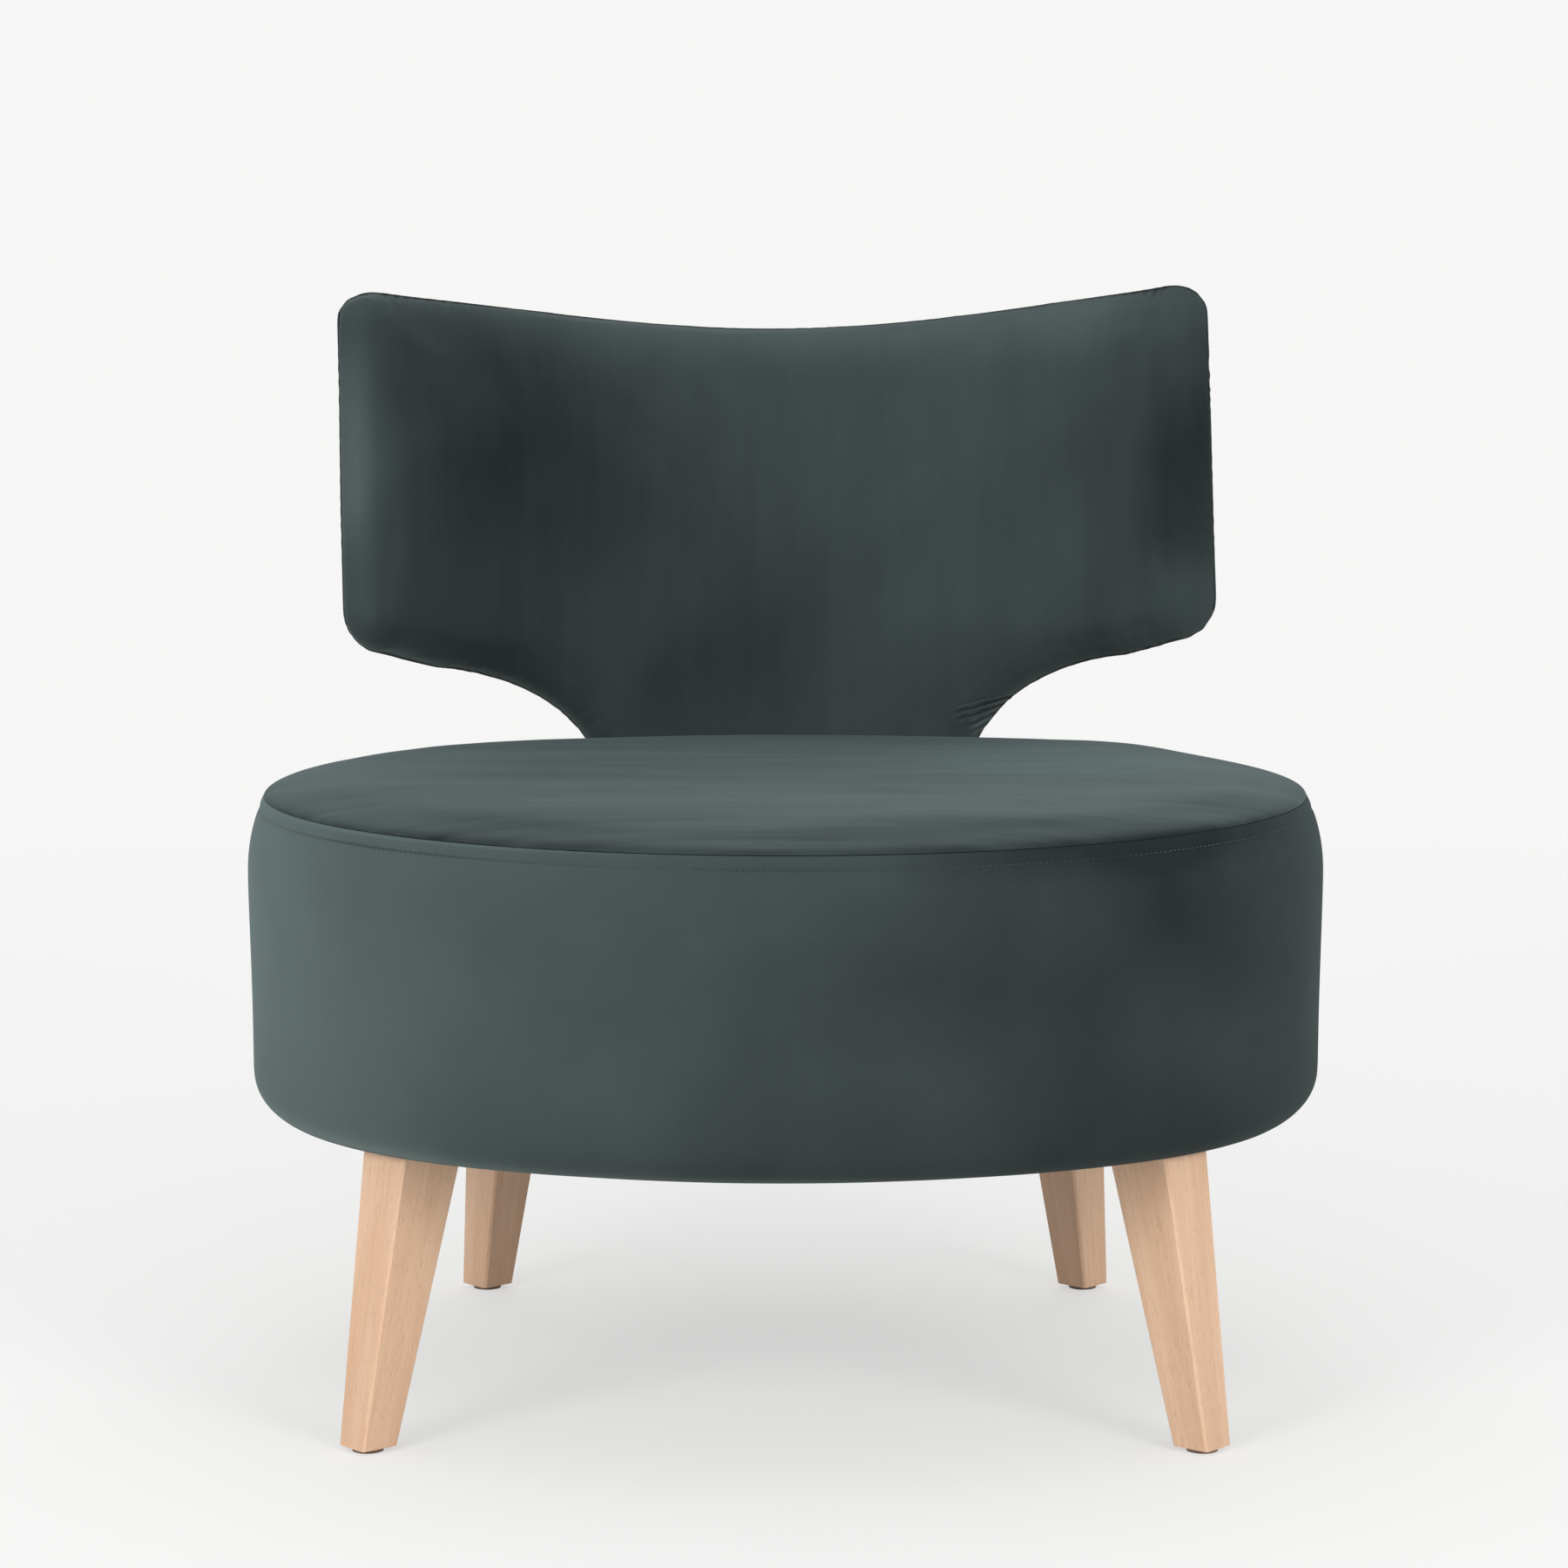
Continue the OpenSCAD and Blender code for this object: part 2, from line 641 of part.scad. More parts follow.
// Distance of the screws from the ends of the blocks that they hold
block_screw_edge = 50;
leg_screw_edge = 12;
block_places = [for (side = [-1, 1])
    [side * (rear_block_w / 2 - block_screw_edge), block_face + rear_block_d / 2 - post_setback]];
leg_screw_offset = leg_block_w / 2 - leg_screw_edge;
leg_places = [for (k = LEGS) for (side = [-1, 1])
    axis_r(k, base_top) * [cos(leg_angle[k]), sin(leg_angle[k])]
        + side * leg_screw_offset * [-sin(leg_angle[k]), cos(leg_angle[k])]];
screw_head_h = screw_d / 2;

// A countersunk screw with its head's face at 0, or with play the hole that it needs
module screw(play) {
    rotate_extrude()
        polygon([
            [0, 0], [screw_d + play, 0], [screw_d / 2 + play, screw_head_h],
            [screw_d / 2 + play, screw_l - screw_d + play], [0, screw_l + play]
        ]);
}
module low_screws(play) {
    on_axis() for (p = concat(post_places, block_places, leg_places))
        translate([p.x, p.y, frame_low]) screw(play);
}
module high_screws(play) {
    on_axis() for (p = concat(post_places, block_places))
        translate([p.x, p.y, deck_h]) mirror([0, 0, 1]) screw(play);
}

module frame_screws() {
    color(steel) {
        low_screws(0);
        high_screws(0);
    }
}

module base_ring() {
    color(plywood)
        difference() {
            on_axis() tube(frame_r, frame_r - base_ring_w, frame_low, base_top);
            leg_bore(bolt_hole_r);
            low_screws(thread_play);
        }
}

module top_ring() {
    color(plywood)
        difference() {
            on_axis() tube(frame_r, frame_r - top_ring_w, top_low, deck_h);
            high_screws(thread_play);
        }
}

module frame_posts() {
    color(pine)
        difference() {
            on_axis() for (g = side_angles)
                rotate([0, 0, g]) translate([-post_w / 2, -post_r - post_d / 2, base_top])
                    cube([post_w, post_d, top_low - base_top]);
            low_screws(thread_play);
            high_screws(thread_play);
        }
}

module rear_block() {
    color(pine)
        difference() {
            on_axis() intersection() {
                translate([-rear_block_w / 2, block_face, base_top])
                    cube([rear_block_w, far, top_low - base_top]);
                cylinder(r = frame_r, h = far);
            }
            back_bore(bolt_hole_r, bolt_seat - 1, far);
            back_bore(washer_d / 2 + recess_play, bolt_seat - far / 4, bolt_seat);
            low_screws(thread_play);
            high_screws(thread_play);
        }
}

module leg_blocks() {
    color(pine)
        difference() {
            on_axis() intersection() {
                for (k = LEGS)
                    rotate([0, 0, leg_angle[k]])
                        translate([axis_r(k, base_top) - leg_block_d / 2, -leg_block_w / 2, base_top])
                            cube([leg_block_d, leg_block_w, leg_block_h]);
                cylinder(r = frame_r, h = far);
            }
            leg_bore(barrel_r + thread_play);
            for (k = LEGS)
                at_leg(k) translate([0, 0, tee_seat(k)]) cylinder(r = recess_r, h = far / 4);
            low_screws(thread_play);
        }
}

// The bent board ends above the velvet that turns under the drum
hoop_lift = 2;

module bent_hoop() {
    color(plywood)
        difference() {
            on_axis() tube(hoop_r + hoop_t, hoop_r, frame_low + hoop_lift, deck_h);
            back_bore(bolt_hole_r, bolt_seat, panel_r);
        }
}

// Elastic belts, woven over and under each other

web_wave = (web_t + soft_gap) / 2;
web_mid = deck_h + soft_gap / 2 + web_wave + web_t / 2;
foam_low = web_mid + web_wave + web_t / 2 + soft_gap;
// Distance of the belts' ends inside the frame's edge
web_end_inset = 8;
web_reach_r = frame_r - web_end_inset;
web_last = (web_n - 1) / 2;
// Half the length on which a belt lies level where it crosses another
web_level = web_w / 2 + soft_gap;
// Half the length of a belt whose outer corners end on the deck
function belt_reach(offset) = sqrt(web_reach_r * web_reach_r - pow(abs(offset) + web_w / 2, 2));

// Middle of a belt: level at each crossing, and down on the deck outside the last one
function belt_line(reach, first) =
    let (
        web_edge = web_last * web_pitch + web_level,
        landing = (web_edge + reach) / 2,
        low = web_mid - web_wave
    )
    concat(
        [[-reach, low], [-landing, low]],
        [for (i = [-web_last : web_last]) for (end = [-web_level, web_level])
            [i * web_pitch + end, web_mid + (i % 2 == 0 ? first : -first) * web_wave]],
        [[landing, low], [reach, low]]
    );

module woven_belt(offset, first) {
    line = belt_line(belt_reach(offset), first);
    loop = concat(
        [for (p = line) p + [0, web_t / 2]],
        [for (i = [len(line) - 1 : -1 : 0]) line[i] - [0, web_t / 2]]
    );
    translate([0, offset + web_w / 2, 0]) rotate([90, 0, 0]) linear_extrude(height = web_w) polygon(loop);
}
// Belts along X; neighbours start on opposite sides of the belts that they cross
module belt_row(first) {
    for (i = [-web_last : web_last])
        woven_belt(i * web_pitch, i % 2 == 0 ? first : -first);
}

module webbing_crosswise() {
    color(belt) on_axis() belt_row(1);
}
module webbing_lengthwise() {
    color(belt) on_axis() rotate([0, 0, 90]) belt_row(-1);
}

// Padding and covers of the seat

foam_d = cover_t + soft_gap + wadding_t + soft_gap;

module seat_foam() {
    color(foam) on_axis() intersection() {
        drum(foam_d);
        above(foam_low);
    }
}

module seat_wadding() {
    color(wadding) on_axis() difference() {
        intersection() {
            drum(cover_t + soft_gap);
            above(foam_low);
        }
        drum(foam_d - soft_gap);
    }
}

module side_foam() {
    color(foam)
        difference() {
            on_axis() intersection() {
                drum(cover_t + soft_gap);
                tube(far, foam_r, 0, foam_low - soft_gap);
            }
            back_bore(bolt_hole_r, bolt_seat, panel_r);
        }
}

module seat_top_cover() {
    color(velvet) on_axis() difference() {
        intersection() {
            drum(0);
            above(seam_h);
        }
        drum(cover_t);
    }
}

module seat_band_cover() {
    color(velvet)
        difference() {
            on_axis() difference() {
                intersection() {
                    drum(0);
                    below(seam_h);
                }
                drum(cover_t);
                cylinder(r = frame_r - turn_in, h = frame_low);
            }
            back_bore(bolt_hole_r, bolt_seat, panel_r);
            leg_bore(bolt_hole_r);
        }
}

// Distance of the dust cover's edge inside the frame's edge
dust_inset = 10;

module dust_cover() {
    color(black)
        difference() {
            on_axis() translate([0, 0, seat_clear]) cylinder(r = frame_r - dust_inset, h = dust_t);
            leg_bore(bolt_hole_r);
        }
}

// The back

module bent_sheet(r_out, r_in, t) {
    intersection() {
        translate([0, 0, neck_z]) tube(r_out, r_in, -far / 10, top_z + wing_rise + far / 10);
        rotate([90, 0, 0]) translate([0, 0, -far]) linear_extrude(height = far) polygon(outline(t, r_in));
    }
}

module back_panel() {
    color(plywood)
        difference() {
            on_back() bent_sheet(panel_rear_r, panel_r, panel_inset);
            back_bore(barrel_r + thread_play, bolt_seat, far / 2);
            back_bore(recess_r, panel_flat, far / 2);
        }
}

// The packer fills the wedge between the upright drum and the leaning panel
packer_front_r = drum_clear_r + cover_t + 2 * soft_gap;

module neck_packer() {
    color(pine)
        difference() {
            on_back() intersection() {
                cylinder(r = panel_r, h = packer_z);
                rotate([90, 0, 0]) translate([0, 0, -far]) linear_extrude(height = far)
                    polygon(outline(packer_inset, panel_r));
            }
            on_axis() translate([0, 0, -far / 2]) cylinder(r = packer_front_r, h = far);
            back_bore(barrel_r + hole_play, bolt_seat, panel_rear_r);
        }
}

cover_d = cover_t + soft_gap;

module back_front_foam() {
    color(foam) on_back() intersection() {
        padded(sheet(0, cover_d, cover_d), sheet(panel_r - soft_gap, cover_d, cover_d));
        above(packer_z + soft_gap);
    }
}

// Chords of a bent sheet fall inside its radius, so the rear foam keeps this much more room
chord_room = 1.4;
rear_foam_inset = 9;

module back_rear_foam() {
    foam_front_r = panel_rear_r + chord_room;
    color(foam) on_back()
        padded(sheet(foam_front_r, rear_foam_inset, cover_d), sheet(1, rear_foam_inset, cover_d));
}

module back_front_cover() {
    color(velvet) difference() {
        on_back() padded(sheet(0, 0, 0), sheet(0, cover_t, cover_t));
        back_bore(bolt_hole_r, bolt_seat, back_r);
    }
}

module back_rear_cover() {
    color(velvet) on_back() padded(sheet(1, cover_t, cover_t), rear_face);
}

seat_top_cover();
seat_band_cover();
seat_wadding();
seat_foam();
side_foam();
webbing_lengthwise();
webbing_crosswise();
top_ring();
base_ring();
frame_posts();
bent_hoop();
rear_block();
leg_blocks();
frame_screws();
dust_cover();
leg(0);  // leg_front_left
leg(1);  // leg_front_right
leg(2);  // leg_rear_left
leg(3);  // leg_rear_right
glide(0);  // glide_front_left
glide(1);  // glide_front_right
glide(2);  // glide_rear_left
glide(3);  // glide_rear_right
leg_bolts();
leg_tee_nuts();
back_panel();
neck_packer();
back_front_foam();
back_rear_foam();
back_front_cover();
back_rear_cover();
back_bolts();
back_washers();
back_tee_nuts();
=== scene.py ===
# %% [markdown]
# # A low round lounge chair, dressed in velvet
# The frame that is loaded here holds the chair's solid parts at their real size. This file gives each
# part its finish, and models the soft parts again: the padded seat, the padded back and the cloths.
# Every number is in metres, and each piece lies where the solid part lies.

# %% Load the frame
import math

import bmesh
import bpy
import numpy as np
from mathutils import Matrix, Vector, noise
from mathutils.kdtree import KDTree


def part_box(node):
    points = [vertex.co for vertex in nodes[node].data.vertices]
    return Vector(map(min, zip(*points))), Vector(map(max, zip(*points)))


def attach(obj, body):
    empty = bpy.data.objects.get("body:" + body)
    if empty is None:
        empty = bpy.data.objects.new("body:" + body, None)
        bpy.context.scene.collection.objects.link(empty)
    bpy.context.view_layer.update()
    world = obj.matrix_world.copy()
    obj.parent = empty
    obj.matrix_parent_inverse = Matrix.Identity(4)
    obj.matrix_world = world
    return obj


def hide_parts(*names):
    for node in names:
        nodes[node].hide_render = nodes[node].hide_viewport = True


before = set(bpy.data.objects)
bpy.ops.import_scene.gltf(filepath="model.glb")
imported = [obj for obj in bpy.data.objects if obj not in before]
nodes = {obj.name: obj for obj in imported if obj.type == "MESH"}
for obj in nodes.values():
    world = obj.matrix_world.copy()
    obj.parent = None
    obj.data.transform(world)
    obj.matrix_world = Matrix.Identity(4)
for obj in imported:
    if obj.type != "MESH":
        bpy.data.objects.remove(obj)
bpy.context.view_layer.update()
scene = bpy.context.scene

# %% [markdown]
# ## Camera
# The chair is seen from straight ahead by a long lens a little above the seat. A long lens keeps the drum's
# ellipse flat and the legs nearly parallel. The height and the pitch come from two ellipses, the seam of
# the seat and the circle of the feet.

# %% Camera
CAMERA_PLACE = (-0.0007, -3.0489, 0.7364)
CAMERA_PITCH = 0.1124
LENS = 102.96

camera = bpy.data.objects.new("camera", bpy.data.cameras.new("camera"))
camera.location = CAMERA_PLACE
camera.rotation_euler = (math.pi / 2 - CAMERA_PITCH, 0, 0)
camera.data.lens = LENS
camera.data.sensor_width = 36
scene.collection.objects.link(camera)
scene.camera = camera
scene.view_settings.view_transform = "Standard"
print("camera height", CAMERA_PLACE[2], "lens", LENS)

# %% [markdown]
# ## Shader maths
# A shader is a graph of nodes. It could be written one node at a time, but that is long and hard to read.
# So a small class wraps a socket: sums of wrapped sockets add their Math nodes, and every other node comes
# from one method.

# %% A socket that can be reckoned with
class Wire:
    """One value in a shader. Arithmetic on it adds the Math nodes."""

    def __init__(self, tree, socket=None):
        self.tree = tree
        self.socket = socket

    def node(self, kind, settings, sockets, out=0):
        """Adds a node, sets its settings, then the values or links of its sockets."""
        made = self.tree.nodes.new(kind)
        for key, value in settings.items():
            setattr(made, key, value)
        for key, value in sockets.items():
            if isinstance(value, Wire):
                self.tree.links.new(value.socket, made.inputs[key])
            else:
                made.inputs[key].default_value = value
        return Wire(self.tree, made.outputs[out])

    def maths(self, operation, *values):
        """Math of this value and others."""
        return self.node("ShaderNodeMath", {"operation": operation}, dict(enumerate((self, *values))))

    def __add__(self, other):
        return self.maths("ADD", other)

    def __sub__(self, other):
        return self.maths("SUBTRACT", other)

    def __rsub__(self, other):
        return self.maths("MULTIPLY", -1.0) + other

    def __mul__(self, other):
        return self.maths("MULTIPLY", other)

    __radd__ = __add__
    __rmul__ = __mul__

    def vector(self, operation, *values, **named):
        """Vector Math of this vector and others. A scale is a socket with a name."""
        sockets = dict(enumerate((self, *values)))
        sockets.update({key.capitalize(): value for key, value in named.items()})
        return self.node("ShaderNodeVectorMath", {"operation": operation}, sockets)

    def length(self):
        return self.node("ShaderNodeVectorMath", {"operation": "LENGTH"}, {0: self}, "Value")

    def stretched(self, x, y, z):
        return self.vector("MULTIPLY", (x, y, z))

    def part(self, axis):
        return self.node("ShaderNodeSeparateXYZ", {}, {"Vector": self}, "XYZ".index(axis))

    def between(self, low, high):
        """Rises smoothly from 0 at low to 1 at high."""
        return self.node("ShaderNodeMapRange", {"interpolation_type": "SMOOTHSTEP"},
                         {"Value": self, "From Min": low, "From Max": high})

    def mix(self, low, high):
        """The colour low where this value is 0, and high where it is 1."""
        return self.node("ShaderNodeMix", {"data_type": "RGBA"}, {0: self, 6: low, 7: high}, 2)

    def noise(self, scale, detail=2.0, rough=0.5, twist=0.0, out="Fac"):
        """Smooth noise, from about 0.2 to 0.8, over this vector."""
        return self.node("ShaderNodeTexNoise", {},
                         {"Vector": self, "Scale": scale, "Detail": detail, "Roughness": rough,
                          "Distortion": twist}, out)

    def drift(self, scale, by):
        """A vector that wanders smoothly, by up to half of by each way."""
        cloud = self.noise(scale, out="Color").vector("SUBTRACT", (0.5, 0.5, 0.5))
        return cloud.vector("SCALE", scale=by)

    def near(self, place, reach, drift):
        """1 at a place, falling softly to 0 at its reach along each axis. Its edge wanders by drift."""
        away = self.vector("SUBTRACT", place).vector("DIVIDE", reach).vector("ADD", drift)
        return 1 - away.length().between(0.0, 1.0)


# %% [markdown]
# A finish is one material, built on Blender's Principled shader. What is the same all over is set on the
# shader's own sockets, and a function paints what varies from place to place. A picture on a UV map could
# do this too. Here the place is read in metres on the piece, so a pattern has its real size everywhere.

# %% A finish
def finish(name, paint, **fixed):
    """A material. paint gives what varies, and fixed holds what is the same all over."""
    made = bpy.data.materials.new(name)
    made.use_nodes = True
    tree = made.node_tree
    shader = tree.nodes["Principled BSDF"]
    for key, value in fixed.items():
        shader.inputs[key.replace("_", " ")].default_value = value
    for key, wire in paint(Wire(tree)).items():
        tree.links.new(wire.socket, shader.inputs[key])
    made.diffuse_color = (*SWATCHES[name.split("_")[0]], 1)
    return made


def in_place(wire):
    """The place on the piece, in metres."""
    return wire.node("ShaderNodeTexCoord", {}, {}, "Object")


def flat_place(wire):
    """The place on the cloth before it was bent, kept by the piece itself."""
    return wire.node("ShaderNodeAttribute", {"attribute_name": "flat"}, {}, "Vector")


def bumped(height, depth, strength=1.0, **over):
    """The surface with a relief of this height, where 1 stands depth proud."""
    return height.node("ShaderNodeBump", {},
                       {"Height": height, "Distance": depth, "Strength": strength, **over})


SWATCHES = {
    "velvet": (0.05, 0.07, 0.07), "beech": (0.72, 0.48, 0.32), "plywood": (0.60, 0.42, 0.22),
    "pine": (0.68, 0.47, 0.26), "webbing": (0.05, 0.045, 0.04), "dust": (0.01, 0.01, 0.01),
    "glide": (0.04, 0.03, 0.025), "zinc": (0.6, 0.61, 0.62), "thread": (0.05, 0.06, 0.06),
}
print("finishes planned", len(SWATCHES))

# %% [markdown]
# ## Velvet
# Velvet is a pile of short upright fibres that were brushed one way, the nap. Seen against the nap it is
# dark, and seen along it, or at a grazing angle, it is pale. Where a hand has passed, the fibres lean
# another way, and a soft patch shows. So the colour alone isn't enough: the fibres' lean turns the
# surface's normal a little along the nap, and noise turns it more or less in patches. A constant sheen
# gives the pale bloom. Soft patches of painted light and shade are added to the colour as well, and round
# the edge of the back, where the cloth turns away, painted shade makes it look dark.
# Real strands of hair could stand for the pile, but they would be too heavy for a part that is used again.

# %% Velvet
PILE_DARK = (0.0100, 0.0140, 0.0141, 1)
PILE_LIGHT = (0.0810, 0.1075, 0.1075, 1)
PILE_FINE = 1100.0
PILE_DEPTH = 0.0006
PILE_RELIEF = 0.3
PILE_TONE = 0.15
ROUGH_LEAST = 0.78
ROUGH_MORE = 0.15
LEAN_LEAST = 0.20
LEAN_MORE = 0.25
MARK_WANDER = (9.0, 0.5)
FOLD_DEPTH = 0.0046
FOLD_SHADE = 0.45
EDGE_TURNED = (0.15, 0.42)
EDGE_PRESS = 0.9


def velvet(name, place, nap, level, patch, streak, marks, folds=None, edge=0.0):
    """Velvet. level is how light it lies. patch and streak are noises, each with its stretch and share.

    edge is how much painted shade darkens the cloth where it turns away over the edge of the back, and
    there the normal is also bent towards the side the piece faces, so that it takes no sheen.
    """
    def paint(wire):
        spot = place(wire)
        brushed = spot.stretched(*patch[0]).noise(1.0, 3.0, 0.5, 0.4).between(0.25, 0.75) - 0.5
        streaks = spot.stretched(*streak[0]).noise(1.0, 3.0, 0.6).between(0.2, 0.8) - 0.5
        pile = spot.noise(PILE_FINE, 2.0, 0.7)
        lean = brushed * patch[1] + streaks * streak[1] + level
        drift = spot.drift(*MARK_WANDER)
        # The marks are patches of painted light and shade, partly pile brushed another way.
        for centre, reach, amount in marks:
            lean = lean + spot.near(centre, reach, drift) * amount
        # Painted shade round the edge of the back, where the cloth turns away from view.
        if edge:
            facing = wire.node("ShaderNodeNewGeometry", {}, {}, "Normal").part("Y")
            rim = 1 - facing.maths("ABSOLUTE").between(*EDGE_TURNED)
            lean = lean - rim * edge
        tone = lean * (1 - PILE_TONE) + pile * PILE_TONE
        relief = bumped(pile, PILE_DEPTH, PILE_RELIEF)
        if folds:
            fold = folds(spot)
            relief = bumped(fold, FOLD_DEPTH, 1.0, Normal=relief)
            # The folds also paint shade into their hollows and a highlight onto their ridges.
            tone = tone + fold * FOLD_SHADE
        leaning = nap(wire).vector("SCALE", scale=lean * LEAN_MORE + LEAN_LEAST)
        turned = relief.vector("ADD", leaning)
        if edge:
            pressed = wire.node("ShaderNodeCombineXYZ", {}, {"Y": rim * facing.maths("SIGN") * EDGE_PRESS})
            turned = turned.vector("ADD", pressed)
        turned = turned.vector("NORMALIZE")
        return {"Base Color": tone.mix(PILE_DARK, PILE_LIGHT),
                "Roughness": pile * ROUGH_MORE + ROUGH_LEAST, "Normal": turned}
    return finish(name, paint, Sheen_Weight=0.15, Sheen_Roughness=0.38,
                  Sheen_Tint=(0.53, 0.76, 0.74, 1), Specular_IOR_Level=0.15)


print("pile from", PILE_DARK[:3], "to", PILE_LIGHT[:3])

# %% [markdown]
# On the band the cloth runs round the drum, so its nap does too, and so it does round the back. On the seat
# it lies one way. A nap could be painted as a picture, but a direction worked out from the place needs none.

# %% The naps
band_low, band_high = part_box("seat_band_cover")
AXIS_Y = (band_low.y + band_high.y) / 2
SEAM_H = band_high.z
BAND_LOW = band_low.z


def round_nap(turn):
    """The direction round the drum's axis. Turn 1 points left in front and right behind, -1 the other way."""
    def nap(wire):
        spot = in_place(wire)
        x = spot.part("Y") * turn - AXIS_Y * turn
        y = spot.part("X") * -turn
        return wire.node("ShaderNodeCombineXYZ", {}, {"X": x, "Y": y, "Z": 0.0}).vector("NORMALIZE")
    return nap


def right_nap(wire):
    return wire.node("ShaderNodeCombineXYZ", {}, {"X": 1.0, "Y": 0.0, "Z": 0.0})


print("drum axis at y", round(AXIS_Y, 4))

# %% [markdown]
# Each piece also has its own list of marks: a place, how far the mark reaches from it along each
# axis, and how much paler or darker the pile lies there. They are painted light and shade, partly pile
# brushed another way: on the band a lit left, a shaded right and a shaded lower edge, on the seat a
# shaded front and rear beside lit patches, and on the back a shaded left wing and right edge beside a
# lit left edge and a lit top. The marks' edges wander. The last two marks of the band are a painted
# highlight where the turned edge of the seam catches the light on the left, and painted shade in the
# groove of the row of stitches below it.

# %% Painted light and shade on the velvet, partly brushed pile
FAR = 9.0
STITCH_DROP = 0.0085
# Painted light and shade on the band: a lit left, a shaded right, shade along the lower edge, then the seam's
# painted highlight and the stitch groove's painted shade.
BAND_SHADING_MARKS = [
    ((-0.34, -0.20, 0.29), (0.39, 0.45, 0.55), 0.54),
    ((0.22, -0.34, 0.33), (0.34, 0.36, 0.34), -0.40),
    ((0.08, -0.40, 0.26), (0.25, 0.30, 0.16), -0.14),
    ((0.24, -0.32, SEAM_H), (0.24, 0.25, 0.030), -0.22),
    ((0.00, AXIS_Y, BAND_LOW), (FAR, FAR, 0.080), -0.20),
    ((-0.34, -0.24, SEAM_H), (0.44, 0.50, 0.0034), 0.60),
    ((-0.34, -0.24, SEAM_H - STITCH_DROP), (0.44, 0.50, 0.0014), -0.30),
]
# Painted light and shade on the seat's top: shade at its front and rear, lit patches between.
SEAT_SHADING_MARKS = [
    ((0.00, -0.37, 0.40), (0.36, 0.12, 0.3), -0.24),
    ((-0.18, -0.30, 0.40), (0.22, 0.12, 0.3), -0.30),
    ((0.22, -0.33, 0.40), (0.20, 0.12, 0.3), -0.38),
    ((0.29, -0.25, 0.40), (0.11, 0.12, 0.3), -0.32),
    ((0.22, 0.01, 0.40), (0.19, 0.24, 0.3), 0.50),
    ((-0.28, 0.01, 0.40), (0.13, 0.20, 0.3), 0.22),
    ((-0.09, -0.06, 0.40), (0.27, 0.24, 0.3), -0.24),
    ((0.00, 0.22, 0.40), (0.36, 0.29, 0.3), -0.44),
]
# Painted light and shade on the back: a lit left edge and top, a shaded left wing and right edge.
BACK_SHADING_MARKS = [
    ((-0.24, 0.0, 0.44), (0.18, 0.2, 0.27), -0.33),
    ((-0.12, 0.0, 0.41), (0.13, 0.2, 0.20), -0.21),
    ((-0.42, 0.0, 0.42), (0.09, 0.2, 0.15), 1.25),
    ((0.39, 0.0, 0.43), (0.10, 0.2, 0.22), -0.42),
    ((0.34, 0.0, 0.33), (0.08, 0.2, 0.06), 0.24),
    ((0.27, 0.0, 0.55), (0.11, 0.2, 0.05), 0.14),
    ((0.02, 0.0, 0.56), (0.50, 0.2, 0.05), 0.40),
    ((0.15, 0.0, 0.43), (0.24, 0.2, 0.17), 0.12),
    ((-0.05, 0.0, 0.29), (0.34, 0.2, 0.08), -0.08),
]
print("brushed marks", len(BAND_SHADING_MARKS) + len(SEAT_SHADING_MARKS) + len(BACK_SHADING_MARKS))

# %% [markdown]
# At the right of the neck the cover is gathered in fine folds, which fan out from a place on the wing. They
# are narrower than the mesh's faces there, so they are a wave in the material, of the angle round that place.
# The wave bumps the surface, and also paints shade in the folds' hollows and a highlight on their ridges.

# %% The gathers beside the neck
GATHER_FROM = (0.236, -0.0205, 0.2855)
GATHER_SLANT = 0.49
GATHER_STEP = math.radians(3.4)
GATHER_TURN = math.radians(-158.5)
GATHER_SPREAD = (math.radians(6), math.radians(10))
GATHER_ENDS = (0.030, 0.045)
GATHER_STARTS = (0.074, 0.104)
GATHER_WAVER = 2.0


def neck_gathers(spot):
    """Fine folds that fan out, and run on slanting over the edge, at the right side of the neck."""
    away = spot.vector("SUBTRACT", GATHER_FROM)
    turn = away.part("Z").maths("ARCTAN2", away.part("X") + away.part("Y") * GATHER_SLANT)
    wave = (turn * (math.tau / GATHER_STEP) + spot.noise(45.0) * GATHER_WAVER).maths("SINE")
    fan = 1 - (turn - GATHER_TURN).maths("ABSOLUTE").between(*GATHER_SPREAD)
    reach = away.length()
    along = reach.between(*GATHER_ENDS) * (1 - reach.between(*GATHER_STARTS))
    return wave * fan * along


print("folds", round((GATHER_SPREAD[0] + GATHER_SPREAD[1]) / GATHER_STEP))

# %% [markdown]
# The band, the top of the seat and the two sides of the back each get their own velvet, because the nap, the
# marks and the light on them differ. Each one's level makes that piece paler or darker as a whole, which
# paints the light and shade on it: they are lit and shaded copies of one cloth. The back's two read the flat
# place, so that the pattern bends with the cloth.

# %% The four velvets
BACK_EDGE_SHADE = 0.6
# Each level paints the light and shade of its piece as a whole.
band_velvet = velvet("velvet_band", in_place, round_nap(1), 0.45,
                     ((3.2, 3.2, 4), 0.24), ((13, 13, 9), 0.06), BAND_SHADING_MARKS)
top_velvet = velvet("velvet_seat_top", in_place, right_nap, 0.34,
                    ((5, 18, 9), 0.34), ((7, 85, 20), 0.22), SEAT_SHADING_MARKS)
front_velvet = velvet("velvet_back_front", flat_place, round_nap(1), 0.34,
                      ((5, 5, 4), 0.28), ((40, 20, 5), 0.08), BACK_SHADING_MARKS, neck_gathers, BACK_EDGE_SHADE)
rear_velvet = velvet("velvet_back_rear", flat_place, round_nap(-1), 0.36,
                     ((5, 5, 4), 0.28), ((40, 20, 5), 0.08), [], None, BACK_EDGE_SHADE)
print("velvets", [made.name for made in (band_velvet, top_velvet, front_velvet, rear_velvet)])

